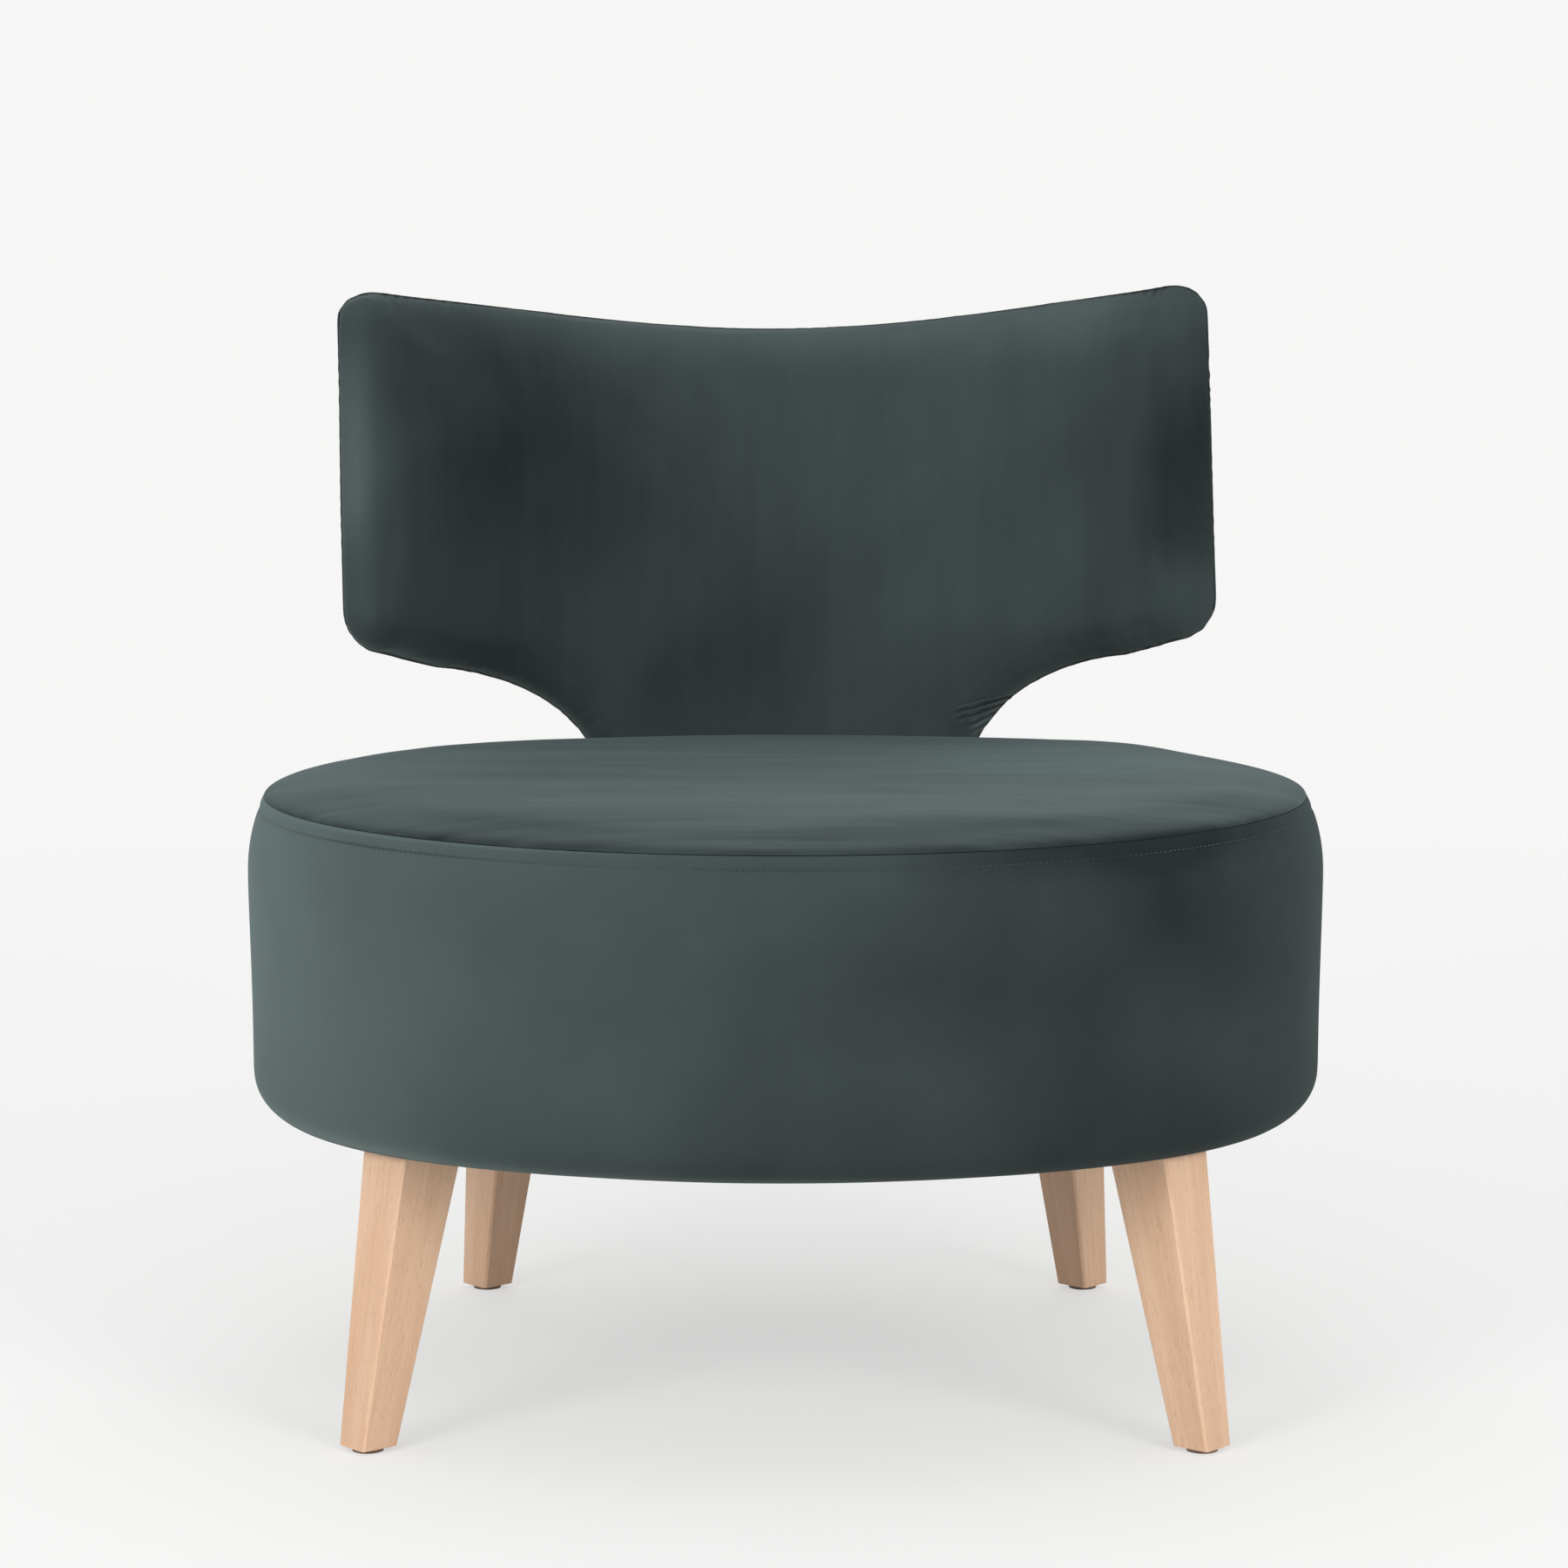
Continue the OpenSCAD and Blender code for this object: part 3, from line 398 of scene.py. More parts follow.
# %% [markdown]
# ## Making meshes
# A mesh could be written as lists of vertices and faces. Here each new piece starts as a few vertices in a
# bmesh instead, and the bmesh operators spin, extrude and bevel them, as one would in the editor.

# %% Helpers for pieces
def piece(bm, name, material, smooth=True):
    """Turns a bmesh into an object that stands at the origin."""
    bmesh.ops.recalc_face_normals(bm, faces=bm.faces)
    mesh = bpy.data.meshes.new(name)
    bm.to_mesh(mesh)
    bm.free()
    mesh.polygons.foreach_set("use_smooth", [smooth] * len(mesh.polygons))
    mesh.materials.append(material)
    made = bpy.data.objects.new(name, mesh)
    scene.collection.objects.link(made)
    return made


def points_of(mesh):
    """The mesh's points as an array."""
    flat = np.empty(len(mesh.vertices) * 3)
    mesh.vertices.foreach_get("co", flat)
    return flat.reshape(-1, 3)


def set_points(mesh, points):
    mesh.vertices.foreach_set("co", points.astype(np.float32).ravel())
    mesh.update()


def settle(thing, name):
    """Applies the modifiers of a piece, so that its mesh is what shows."""
    graph = bpy.context.evaluated_depsgraph_get()
    mesh = bpy.data.meshes.new_from_object(thing.evaluated_get(graph))
    mesh.name = name
    thing.modifiers.clear()
    thing.data = mesh
    return mesh


print("meshes before the new pieces", len(bpy.data.meshes))

# %% [markdown]
# ## The seat
# The seat is a drum. A round panel of velvet over wadding and foam is its top, a long strip is its band,
# and a seam joins them. A second row of stitches on the band holds the seam's turned-down edge.
# The two could be made apart, but then their edges would have to be fitted to each other. So the drum's
# outline is spun round its axis as one skin. The skin is pinned along the seam and blown up a little, as the
# foam does to the real cover, and is then cut along the seam into the two pieces.

# %% The seat's sizes, from the frame and from the upholsterer's pattern
top_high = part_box("seat_top_cover")[1]
SEAT_R = (band_high.x - band_low.x) / 2
SEAM_IN = 0.011
BELLY_DROP = 0.049
SKIRT_IN = 0.0015
BAND_ROUND = 0.022
SHOULDER_W = 0.040
SHOULDER_H = 0.0098
TURN_IN = 0.030
SLACK = 0.0006
REAR_LOW = 0.0076
REAR_LOW_HALF = 0.26
REAR_LOW_FROM = 0.05
REAR_LOW_RUN = 0.25
TOP_RIGHT = 0.002
LOW_EDGE_WAVE = 0.0040
LOW_EDGE_SAG = 0.0005
LOW_EDGE_REACH = 0.075
LOW_EDGE_FROM = 0.330
LOW_EDGE_RUN = 0.008
LOW_EDGE_TURNS = 2.5
LOW_EDGE_END = math.radians(144)
SEAM_R = SEAT_R - SEAM_IN
CROWN_H = top_high.z - SEAM_H - SHOULDER_H
print("seat radius", round(SEAT_R, 4), "seam height", round(SEAM_H, 4), "crown", round(CROWN_H, 4))


# %% The drum's outline
TURN_IN_STEPS = 4
ROUND_STEPS = 6
SIDE_STEPS = 16
SHOULDER_STEPS = 8
CROWN_STEPS = 35
SEAM_ROWS = [0.030, 0.022, 0.016, 0.012, 0.0100, 0.0085, 0.0070, 0.0050, 0.0030, 0.0015]


def under_edge():
    """From the turned-in cloth under the drum to the start of its upright side."""
    r = SEAT_R - SKIRT_IN - BAND_ROUND
    rows = [(r - TURN_IN * (1 - i / TURN_IN_STEPS), BAND_LOW) for i in range(TURN_IN_STEPS)]
    for i in range(ROUND_STEPS + 1):
        turn = math.pi / 2 * i / ROUND_STEPS
        rows.append((r + BAND_ROUND * math.sin(turn), BAND_LOW + BAND_ROUND * (1 - math.cos(turn))))
    return rows


def side_at(h):
    """Radius of the drum's side at a height."""
    belly = SEAM_H - BELLY_DROP
    if h > belly:
        return SEAT_R - SEAM_IN * ((h - belly) / BELLY_DROP) ** 2
    share = (h - BAND_LOW - BAND_ROUND) / (belly - BAND_LOW - BAND_ROUND)
    return SEAT_R - SKIRT_IN * (1 + math.cos(math.pi * share)) / 2


seam_heights = [SEAM_H - drop for drop in SEAM_ROWS]
low_heights = np.linspace(BAND_LOW + BAND_ROUND, seam_heights[0], SIDE_STEPS + 1)[1:-1]
band_rows = under_edge() + [(side_at(h), h) for h in (*low_heights, *seam_heights)] + [(SEAM_R, SEAM_H)]


def top_rows():
    """Over the shoulder, and then over the crown to the axis."""
    rows = []
    for turn in np.linspace(0, math.pi / 2, SHOULDER_STEPS + 1)[1:]:
        rows.append((SEAM_R - SHOULDER_W * (1 - math.cos(turn)), SEAM_H + SHOULDER_H * math.sin(turn)))
    flat_r = SEAM_R - SHOULDER_W
    for share in np.linspace(1, 0, CROWN_STEPS + 1)[1:]:
        rows.append((flat_r * share, SEAM_H + SHOULDER_H + CROWN_H * (1 - share ** 2)))
    return rows


drum_rows = band_rows + top_rows()
SEAM_ROW = len(band_rows) - 1
print("rows on the drum", len(drum_rows), "of which the seam is", SEAM_ROW)

# %% The drum as one skin
DRUM_STEPS = 264
POLE_R = 0.06
POLE_MERGE = 0.0045
bm = bmesh.new()
row_of = bm.verts.layers.int.new("row")
profile = []
for row, (r, h) in enumerate(drum_rows):
    corner = bm.verts.new((0, AXIS_Y - r, h))
    corner[row_of] = row
    profile.append(corner)
lines = [bm.edges.new(pair) for pair in zip(profile, profile[1:])]
bmesh.ops.spin(bm, geom=profile + lines, cent=(0, AXIS_Y, 0), axis=(0, 0, 1), dvec=(0, 0, 0),
               angle=math.tau, steps=DRUM_STEPS, use_merge=True, use_duplicate=False)
bmesh.ops.remove_doubles(bm, verts=bm.verts, dist=1e-6)
crowded = [v for v in bm.verts if math.hypot(v.co.x, v.co.y - AXIS_Y) < POLE_R]
bmesh.ops.remove_doubles(bm, verts=crowded, dist=POLE_MERGE)
drum = piece(bm, "seat_skin", band_velvet)


def read_rows(mesh):
    rows = np.empty(len(mesh.vertices), np.int32)
    mesh.attributes["row"].data.foreach_get("value", rows)
    return rows


rows = read_rows(drum.data)
print("skin points", len(rows), "rows", rows.min(), "to", rows.max())

# %% [markdown]
# Foam presses its cover out evenly, and the seams hold it back. Sculpting could imitate that, but a cloth
# simulation finds the shape by itself: some points are pinned, and pressure blows up the rest. What it
# gives is evened out and capped, so that the fine wrinkles of a coarse mesh are gone.

# %% Blowing a cover up
CALM_SHARE = 0.6
PRESSURE = 4


def calmed(mesh, moved, rounds=8):
    """Evens out how far the points move, so that only broad swellings and soft folds are left."""
    ends = np.empty(len(mesh.edges) * 2, np.int32)
    mesh.edges.foreach_get("vertices", ends)
    first, second = ends.reshape(-1, 2).T
    count = np.bincount(ends, minlength=len(moved))[:, None]
    for _ in range(rounds):
        total = np.zeros_like(moved)
        np.add.at(total, first, moved[second])
        np.add.at(total, second, moved[first])
        moved = moved * (1 - CALM_SHARE) + total / count * CALM_SHARE
    return moved


def swell(thing, pinned, limit, free, frames=20):
    """Blows the cloth up against its pins.

    limit caps how far a point moves, and free, from 0 to 1, is how much of that each point may.
    """
    start = points_of(thing.data)
    group = thing.vertex_groups.new(name="pinned")
    group.add([int(i) for i in np.flatnonzero(pinned)], 1.0, "REPLACE")
    cloth = thing.modifiers.new("cloth", "CLOTH")
    cloth.settings.use_pressure = True
    cloth.settings.uniform_pressure_force = PRESSURE
    cloth.settings.effector_weights.gravity = 0
    cloth.settings.vertex_group_mass = "pinned"
    cloth.point_cache.frame_start = 1
    cloth.point_cache.frame_end = frames
    for step in range(1, frames + 1):
        scene.frame_set(step)
    blown = points_of(settle(thing, thing.data.name))
    moved = calmed(thing.data, blown - start)
    moved[pinned] = 0
    length = np.linalg.norm(moved, axis=1, keepdims=True)
    capped = limit * np.tanh(length / limit) / np.maximum(length, 1e-9)
    set_points(thing.data, start + moved * capped * free[:, None])
    thing.vertex_groups.clear()
    scene.frame_set(1)
    print(thing.name, "swelled by up to", round(float(length.max()) * 1000, 1), "mm before the cap")


print("cloth pressure", PRESSURE)

# %% [markdown]
# The foam is never quite even, so the skin first gets a slow unevenness of about a millimetre, and is
# drawn in by its slack. The seat is sat a little lower towards the back, and its top lies a little to the
# right. The lower edge of the cover is drawn up a few millimetres in the middle of the front and is fuller
# over the front legs. Then the cloth is blown up against its pins: the seam and the turned-in edge.

# %% Uneven foam, then the swelling
DRUM_LUMPS = (0.16, 0.0011, 3.0)
STIFF_ROWS = 4.0
PINNED_ROWS = 2
DRUM_SWELL = 0.0022


def uneven(points, size, depth, seed):
    """A slow unevenness for each point, from about -depth to depth."""
    shift = Vector((seed, 2.3 * seed, -seed))
    return np.array([noise.noise(Vector(p) / size + shift) for p in points]) * 2 * depth


points = points_of(drum.data)
away = points - np.array((0, AXIS_Y, 0))
away[:, 2] = 0
reach = np.linalg.norm(away, axis=1)
outward = away / np.maximum(reach, 1e-9)[:, None]
on_top = (rows > SEAM_ROW).astype(float)
free = 1 - np.exp(-((rows - SEAM_ROW) / STIFF_ROWS) ** 2)
lumps = uneven(points, *DRUM_LUMPS) * free
points[:, 2] += on_top * (lumps - SLACK * free)
points[:, :2] += ((1 - on_top) * (lumps - SLACK * free))[:, None] * outward[:, :2]
from_front = np.arctan2(away[:, 0], -away[:, 1])
low_share = np.clip(1 - (points[:, 2] - BAND_LOW) / LOW_EDGE_REACH, 0, 1) ** 2
low_turn = LOW_EDGE_TURNS * np.minimum(np.abs(from_front), LOW_EDGE_END)
low_wave = LOW_EDGE_WAVE * np.cos(low_turn) - LOW_EDGE_SAG
points[:, 2] += low_wave * low_share * np.clip((reach - LOW_EDGE_FROM) / LOW_EDGE_RUN, 0, 1)
behind = np.clip((away[:, 1] - REAR_LOW_FROM) / REAR_LOW_RUN, 0, 1)
sat = behind * np.clip(1 - (points[:, 0] / REAR_LOW_HALF) ** 2, 0, 1)
points[:, 2] -= REAR_LOW * sat * on_top * free
points[:, 0] += TOP_RIGHT * on_top * free
set_points(drum.data, points)
pins = (rows == SEAM_ROW) | (rows <= PINNED_ROWS)
swell(drum, pins, DRUM_SWELL, free)
print("seat top now at", round(points_of(drum.data)[:, 2].max(), 4))
print("and the solid's at", round(top_high.z, 4))

# %% [markdown]
# The cut seam gets its turned edges: each piece rolls in by almost a millimetre and runs on inside the drum.
# Both pieces are closed inside, so that each is a solid pad.

# %% Cutting the skin at its seam
def half_of_drum(keep):
    """The part of the skin whose faces keep() accepts, and its open rings."""
    part = bmesh.new()
    part.from_mesh(drum.data)
    layer = part.verts.layers.int["row"]
    gone = [face for face in part.faces if not keep([v[layer] for v in face.verts])]
    bmesh.ops.delete(part, geom=gone, context="FACES")
    return part, layer


def ring(part, layer, row):
    """The open edges of one row."""
    return [e for e in part.edges if e.is_boundary and all(v[layer] == row for v in e.verts)]


def run_on(part, edges, path):
    """Extrudes a ring of edges through radii and heights."""
    for r, h in path:
        grown = bmesh.ops.extrude_edge_only(part, edges=edges)["geom"]
        edges = [g for g in grown if isinstance(g, bmesh.types.BMEdge)]
        for v in {v for e in edges for v in e.verts}:
            flat = Vector((v.co.x, v.co.y - AXIS_Y, 0)).normalized() * r
            v.co = (flat.x, AXIS_Y + flat.y, h)
    return edges


ROLL_IN = 0.0009
INNER_R = 0.334
INNER_PLAY = 0.001
TOP_ROLL = (0.0001, 0.0004)
BAND_ROLL = (0.0005, 0.0012)
BAND_FLOOR = 0.006
DECK_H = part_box("seat_foam")[0].z
top, layer = half_of_drum(lambda r: min(r) >= SEAM_ROW)
top_r = INNER_R - INNER_PLAY
edges = run_on(top, ring(top, layer, SEAM_ROW),
               [(SEAM_R - ROLL_IN, SEAM_H - TOP_ROLL[0]), (top_r, SEAM_H - TOP_ROLL[1]), (top_r, DECK_H)])
cap = bmesh.ops.edgeloop_fill(top, edges=edges)["faces"]
bmesh.ops.triangulate(top, faces=cap)
seat_top = piece(top, "seat_top_velvet", top_velvet)

band, layer = half_of_drum(lambda r: max(r) <= SEAM_ROW)
edges = run_on(band, ring(band, layer, SEAM_ROW),
               [(SEAM_R - ROLL_IN, SEAM_H - BAND_ROLL[0]), (INNER_R, SEAM_H - BAND_ROLL[1]),
                (INNER_R, BAND_LOW + BAND_FLOOR)])
low_edges = ring(band, layer, 0)
bmesh.ops.bridge_loops(band, edges=edges + low_edges)
seat_band = piece(band, "seat_band_velvet", band_velvet)
bpy.data.objects.remove(drum)
print("seat pieces", len(seat_top.data.vertices), len(seat_band.data.vertices), "points")

# %% [markdown]
# The stitches pull a fine groove into the band. It is pressed into the mesh, as the mesh has rows that are
# close enough here. Then both pieces are smoothed, and take the place of the solids.

# %% The seam's pressed edge and the groove of its stitches
PRESS_IN = 0.0008
PRESS_HALF = 0.0016
PROUD_OUT = 0.0003
PROUD_DROP = 0.0045
PROUD_HALF = 0.0030
OUTER_FROM = 0.0012


def groove_band(thing):
    """Presses the stitch line in, and lets the turned edge above it stand a little proud."""
    points = points_of(thing.data)
    depth = SEAM_H - points[:, 2]
    flat = points - np.array((0, AXIS_Y, 0))
    flat[:, 2] = 0
    r = np.linalg.norm(flat, axis=1)
    outer = r > SEAM_R - OUTER_FROM
    press = -PRESS_IN * np.exp(-((depth - STITCH_DROP) / PRESS_HALF) ** 2)
    proud = PROUD_OUT * np.exp(-((depth - PROUD_DROP) / PROUD_HALF) ** 2)
    points += flat / np.maximum(r, 1e-9)[:, None] * ((press + proud) * outer)[:, None]
    set_points(thing.data, points)


groove_band(seat_band)
for thing in (seat_top, seat_band):
    soft = thing.modifiers.new("soft", "SUBSURF")
    soft.levels = soft.render_levels = 1
    settle(thing, thing.name)
    thing.data.polygons.foreach_set("use_smooth", [True] * len(thing.data.polygons))
    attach(thing, "root")
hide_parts("seat_top_cover", "seat_wadding", "seat_foam")
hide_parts("seat_band_cover", "side_foam")
print("faces", len(seat_top.data.polygons), len(seat_band.data.polygons))

# %% [markdown]
# ## The row of stitches
# The thread matches the cloth, so only the small bars between the holes show. A texture could draw them,
# but then the model's own mesh would lack them. So each is a tiny long bead with few faces, laid into the
# groove round the drum, and one spin makes them all.

# %% Stitches
STITCH_PITCH = 0.0042
STITCH_L = 0.0030
STITCH_W = 0.0008
STITCH_SUNK = 0.0010
THREAD_DARK = (0.010, 0.014, 0.014, 1)
THREAD_LIGHT = (0.036, 0.048, 0.048, 1)


def thread_paint(wire):
    spot = in_place(wire)
    strands = spot.stretched(900, 900, 2600).noise(1.0, 2.0)
    return {"Base Color": strands.between(0.3, 0.7).mix(THREAD_DARK, THREAD_LIGHT),
            "Normal": bumped(strands, 0.0002)}


thread = finish("thread", thread_paint, Roughness=0.7, Sheen_Weight=0.05)
bm = bmesh.new()
stitch_h = SEAM_H - STITCH_DROP
stitch_r = side_at(stitch_h) - STITCH_SUNK
count = round(math.tau * stitch_r / STITCH_PITCH)
place = Matrix.Translation((0, AXIS_Y - stitch_r, stitch_h))
place = place @ Matrix.Diagonal((STITCH_L / 2, STITCH_W / 2, STITCH_W / 2, 1))
bmesh.ops.create_uvsphere(bm, u_segments=6, v_segments=4, radius=1, matrix=place)
bmesh.ops.spin(bm, geom=[*bm.verts, *bm.edges, *bm.faces], cent=(0, AXIS_Y, 0), axis=(0, 0, 1),
               dvec=(0, 0, 0), angle=math.tau * (count - 1) / count, steps=count - 1, use_duplicate=True)
stitches = piece(bm, "seat_topstitch", thread)
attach(stitches, "root")
print("stitches", count)

# %% [markdown]
# ## The back
# The back is a bent plywood panel between two pads, a front cover and a rear cover that meet in a seam on
# the edge. It could be modelled bent from the start, but it is easier to make flat, as it is to sew flat:
# the pad is made as a thick outline with a round edge, blown up, cut along its edge seam, and only then
# bent round the drum and leaned back. The flat place of each point stays with it, so that the nap follows
# the cloth. On the flat pad, a is the way along the cloth from its middle, y the way through the pad from
# front to rear, and z the way up it.

# %% The back's sizes
BACK_BEHIND = 0.0055
BACK_R = SEAT_R + BACK_BEHIND
LEAN = math.radians(8)
PIVOT_H = 0.200
WING_HALF = 0.363
TOP_RISE = 0.307
WING_RISE = 0.0104
WING_RUN = 0.280
TOP_CORNER = (0.028, 0.021)
LOW_CORNER = (0.036, 0.031)
WING_LOW = 0.0575
WING_DROP = 0.008
NECK_HALF = 0.1372
CUT_W = 0.139
CUT_H = 0.0925
NECK_CORNER = 0.024
NECK_FOOT = 0.016
PAD_HALF = 0.0205
EDGE_ROUND = 0.0195
SEAT_CLEAR = 0.190


def slope_z(h):
    """Height along the leaning back of a place at height h."""
    return (h - PIVOT_H + BACK_R * math.sin(LEAN)) / math.cos(LEAN)


SEAM_Z = slope_z(SEAM_H)
NECK_Z = slope_z(SEAT_CLEAR + NECK_FOOT)
TOP_Z = SEAM_Z + TOP_RISE
WING_Z = SEAM_Z + WING_LOW
CUT_Z = WING_Z - WING_DROP - CUT_H
print("back from", round(NECK_Z, 3), "to", round(TOP_Z, 3), "along its slope")


# %% The back's outline
NECK_POINTS = 7
CUT_POINTS = 15
CORNER_POINTS = 11
TOP_POINTS = 24


def arc(a, z, ra, rz, start, end, steps):
    """Points on an arc about a place, in degrees."""
    return [(a + ra * math.cos(math.radians(g)), z + rz * math.sin(math.radians(g)))
            for g in np.linspace(start, end, steps)]


def top_edge(a):
    share = min(abs(a) / WING_RUN, 1)
    return TOP_Z + WING_RISE * (1 - math.cos(math.pi * share)) / 2


def half_outline():
    """The right half, from the neck's foot round the wing to the middle of the top."""
    low_w, low_h = LOW_CORNER
    top_w, top_h = TOP_CORNER
    side_a = WING_HALF - low_w
    top_a = WING_HALF - top_w
    points = [(0.0, NECK_Z), (NECK_HALF / 2, NECK_Z)]
    foot = (NECK_HALF - NECK_CORNER, NECK_Z + NECK_CORNER)
    points += arc(*foot, NECK_CORNER, NECK_CORNER, -90, 0, NECK_POINTS)
    points += arc(NECK_HALF + CUT_W, CUT_Z, CUT_W, CUT_H, 180, 90, CUT_POINTS)
    points += arc(side_a, WING_Z + low_h, low_w, low_h, -90, 0, CORNER_POINTS)
    points += arc(top_a, TOP_Z + WING_RISE - top_h, top_w, top_h, 0, 90, CORNER_POINTS)
    points += [(a, top_edge(a)) for a in np.linspace(top_a, 0, TOP_POINTS)[1:]]
    return points


right = half_outline()
outline = right + [(-a, z) for a, z in right[-2:0:-1]]
print("outline points", len(outline))

# %% [markdown]
# A sewn cover never sits quite even. This one lies a few millimetres to the left of the panel, is a touch
# fuller than it, and its right wing stands a little higher than its left. Low on the neck, behind the drum,
# it sits straight and wide enough to hide the panel's edges. Each of these eases in along the wing or the
# neck, so that the outline keeps its smooth curves.

# %% How the cover sits
WING_EASE = 0.1
NECK_LEFT = 0.7
COVER_LEFT = 0.0045
COVER_WIDER = 1.008
COVER_TILT = 0.0090
COVER_LOWER = 0.0045
NECK_WIDER = 1.022
NECK_HIDDEN = (0.200, 0.245)


def as_it_sits(a, z):
    """The place of an outline point on the cover as it was pulled on."""
    wing = min(1.0, max(0.0, abs(a) - NECK_HALF) / WING_EASE)
    low = 1.0 if a < 0 and z < WING_Z + LOW_CORNER[1] else 0.0
    hidden = min(1.0, max(0.0, (NECK_HIDDEN[1] - z) / (NECK_HIDDEN[1] - NECK_HIDDEN[0])))
    wider = 1 + (COVER_WIDER - 1) * wing + (NECK_WIDER - 1) * hidden
    left = COVER_LEFT * (NECK_LEFT * (1 - hidden) + (1 - NECK_LEFT) * wing)
    return a * wider - left, z + COVER_TILT * a - COVER_LOWER * low * wing


outline = [as_it_sits(a, z) for a, z in outline]
print("cover from", round(min(a for a, z in outline), 4), "to", round(max(a for a, z in outline), 4))

# %% [markdown]
# One face in this outline is extruded to the pad's thickness, and the bevel gives it the round edge. Its two
# sides are single faces then, which can't bend or swell, so Remesh lays an even net of small faces over it.

# %% The flat pad
VOXEL = 0.005
bm = bmesh.new()
face = bm.faces.new([bm.verts.new((a, -PAD_HALF, z)) for a, z in outline])
grown = bmesh.ops.extrude_face_region(bm, geom=[face])["geom"]
bmesh.ops.translate(bm, verts=[g for g in grown if isinstance(g, bmesh.types.BMVert)],
                    vec=(0, 2 * PAD_HALF, 0))
rim = [e for e in bm.edges if abs(e.verts[0].co.y - e.verts[1].co.y) < 1e-6]
bmesh.ops.bevel(bm, geom=rim, offset=EDGE_ROUND, offset_type="OFFSET", segments=6, profile=0.5,
                affect="EDGES", material=-1, clamp_overlap=True)
pad = piece(bm, "back_skin", front_velvet)
remesh = pad.modifiers.new("even", "REMESH")
remesh.mode = "VOXEL"
remesh.voxel_size = VOXEL
settle(pad, "back_skin")
print("points on the flat pad", len(pad.data.vertices))

# %% [markdown]
# The pads are fullest in the middle, more so in front. At the right of the neck, behind the seam, the cover
# bulges out over the panel's edge. The cloth is pinned along the seam and blown up as the drum's is. How
# much it may move fades towards the seam and the edge, so that the outline stays as it was cut.

# %% Crown, unevenness and swelling
SEAM_Y = 0.0125
FRONT_CROWN = 0.006
REAR_CROWN = 0.002
TOP_FLATTER = 0.8
PAD_LUMPS = (0.13, 0.0010, 7.0)
BULGE = 0.0045
BULGE_Z = 0.252
BULGE_REACH = 0.024
BULGE_BEHIND = (0.007, 0.004)
BULGE_RIGHT = (0.12, 0.02)
PAD_SWELL = 0.004
SEAM_FADE = 0.008
PINNED = 0.6


def crown_at(a, z):
    """Share of the crown: none at the wings' ends, and little at the top edge."""
    middle = (TOP_Z + WING_Z) / 2
    high = np.maximum(0, z - middle) / (TOP_Z - middle)
    return np.clip(1 - (a / WING_HALF) ** 2, 0, 1) * (1 - TOP_FLATTER * high ** 2)


points = points_of(pad.data)
a, y, z = points.T
bulk = np.clip(np.abs(y) / PAD_HALF, 0, 1) ** 2
crown = np.where(y < 0, -FRONT_CROWN, REAR_CROWN) * crown_at(a, z)
lumps = uneven(points, *PAD_LUMPS)
points[:, 1] = y * (1 - SLACK / PAD_HALF) + bulk * (crown + lumps)
behind = np.clip((y - BULGE_BEHIND[0]) / BULGE_BEHIND[1], 0, 1)
at_right = np.clip((a - BULGE_RIGHT[0]) / BULGE_RIGHT[1], 0, 1)
points[:, 0] += BULGE * behind * at_right * np.exp(-((z - BULGE_Z) / BULGE_REACH) ** 2)
set_points(pad.data, points)
from_seam = np.abs(y - SEAM_Y)
swell(pad, from_seam < VOXEL * PINNED, PAD_SWELL, bulk * np.clip(from_seam / SEAM_FADE, 0, 1))
print("pad from", round(points[:, 1].min(), 4), "to", round(points[:, 1].max(), 4))

# %% [markdown]
# Each half keeps the cloth on its own side of the seam. Its edge is drawn in a little and runs on inside,
# which leaves a fine dark groove all round. The inner side is one face at first, and is cut into strips
# so that it can bend with the rest.

# %% Cutting the pad at its edge seam
SEAM_GAP = 0.0006
SEAM_IN_PAD = 0.0008
LIP = 0.0015
STRIP = 0.024


def verts_in(found):
    return [g for g in found if isinstance(g, bmesh.types.BMVert)]


def edges_in(found):
    return [g for g in found if isinstance(g, bmesh.types.BMEdge)]


def draw_in(verts, by):
    """Moves points of the rim inwards in the plane of the pad."""
    ways = {v: Vector((v.normal.x, 0, v.normal.z)).normalized() for v in verts}
    for v, way in ways.items():
        v.co -= way * by
    return ways


def half_of_pad(side, name, material):
    """One side of the pad as a closed piece: -1 is the front, 1 the rear."""
    half = bmesh.new()
    half.from_mesh(pad.data)
    cut = bmesh.ops.bisect_plane(half, geom=[*half.verts, *half.edges, *half.faces], dist=1e-6,
                                 plane_co=(0, SEAM_Y + side * SEAM_GAP / 2, 0), plane_no=(0, side, 0),
                                 clear_inner=True)
    half.normal_update()
    edges = edges_in(cut["geom_cut"])
    rim = {v for e in edges for v in e.verts}
    ways = draw_in(rim, SEAM_IN_PAD)
    grown = bmesh.ops.extrude_edge_only(half, edges=edges)["geom"]
    for v in verts_in(grown):
        near = min((e.other_vert(v) for e in v.link_edges if e.other_vert(v) in ways),
                   key=lambda other: (other.co - v.co).length)
        v.co -= ways[near] * LIP
    cap = bmesh.ops.edgeloop_fill(half, edges=edges_in(grown))["faces"]
    for a in np.arange(-WING_HALF, WING_HALF, STRIP):
        geom = {g for f in cap for g in (f, *f.edges, *f.verts)}
        cut = bmesh.ops.bisect_plane(half, geom=list(geom), dist=1e-5, plane_co=(a, 0, 0), plane_no=(1, 0, 0))
        cap = [g for g in cut["geom"] if isinstance(g, bmesh.types.BMFace)]
    made = piece(half, name, material)
    soft = made.modifiers.new("soft", "SUBSURF")
    soft.levels = soft.render_levels = 1
    settle(made, name)
    return made


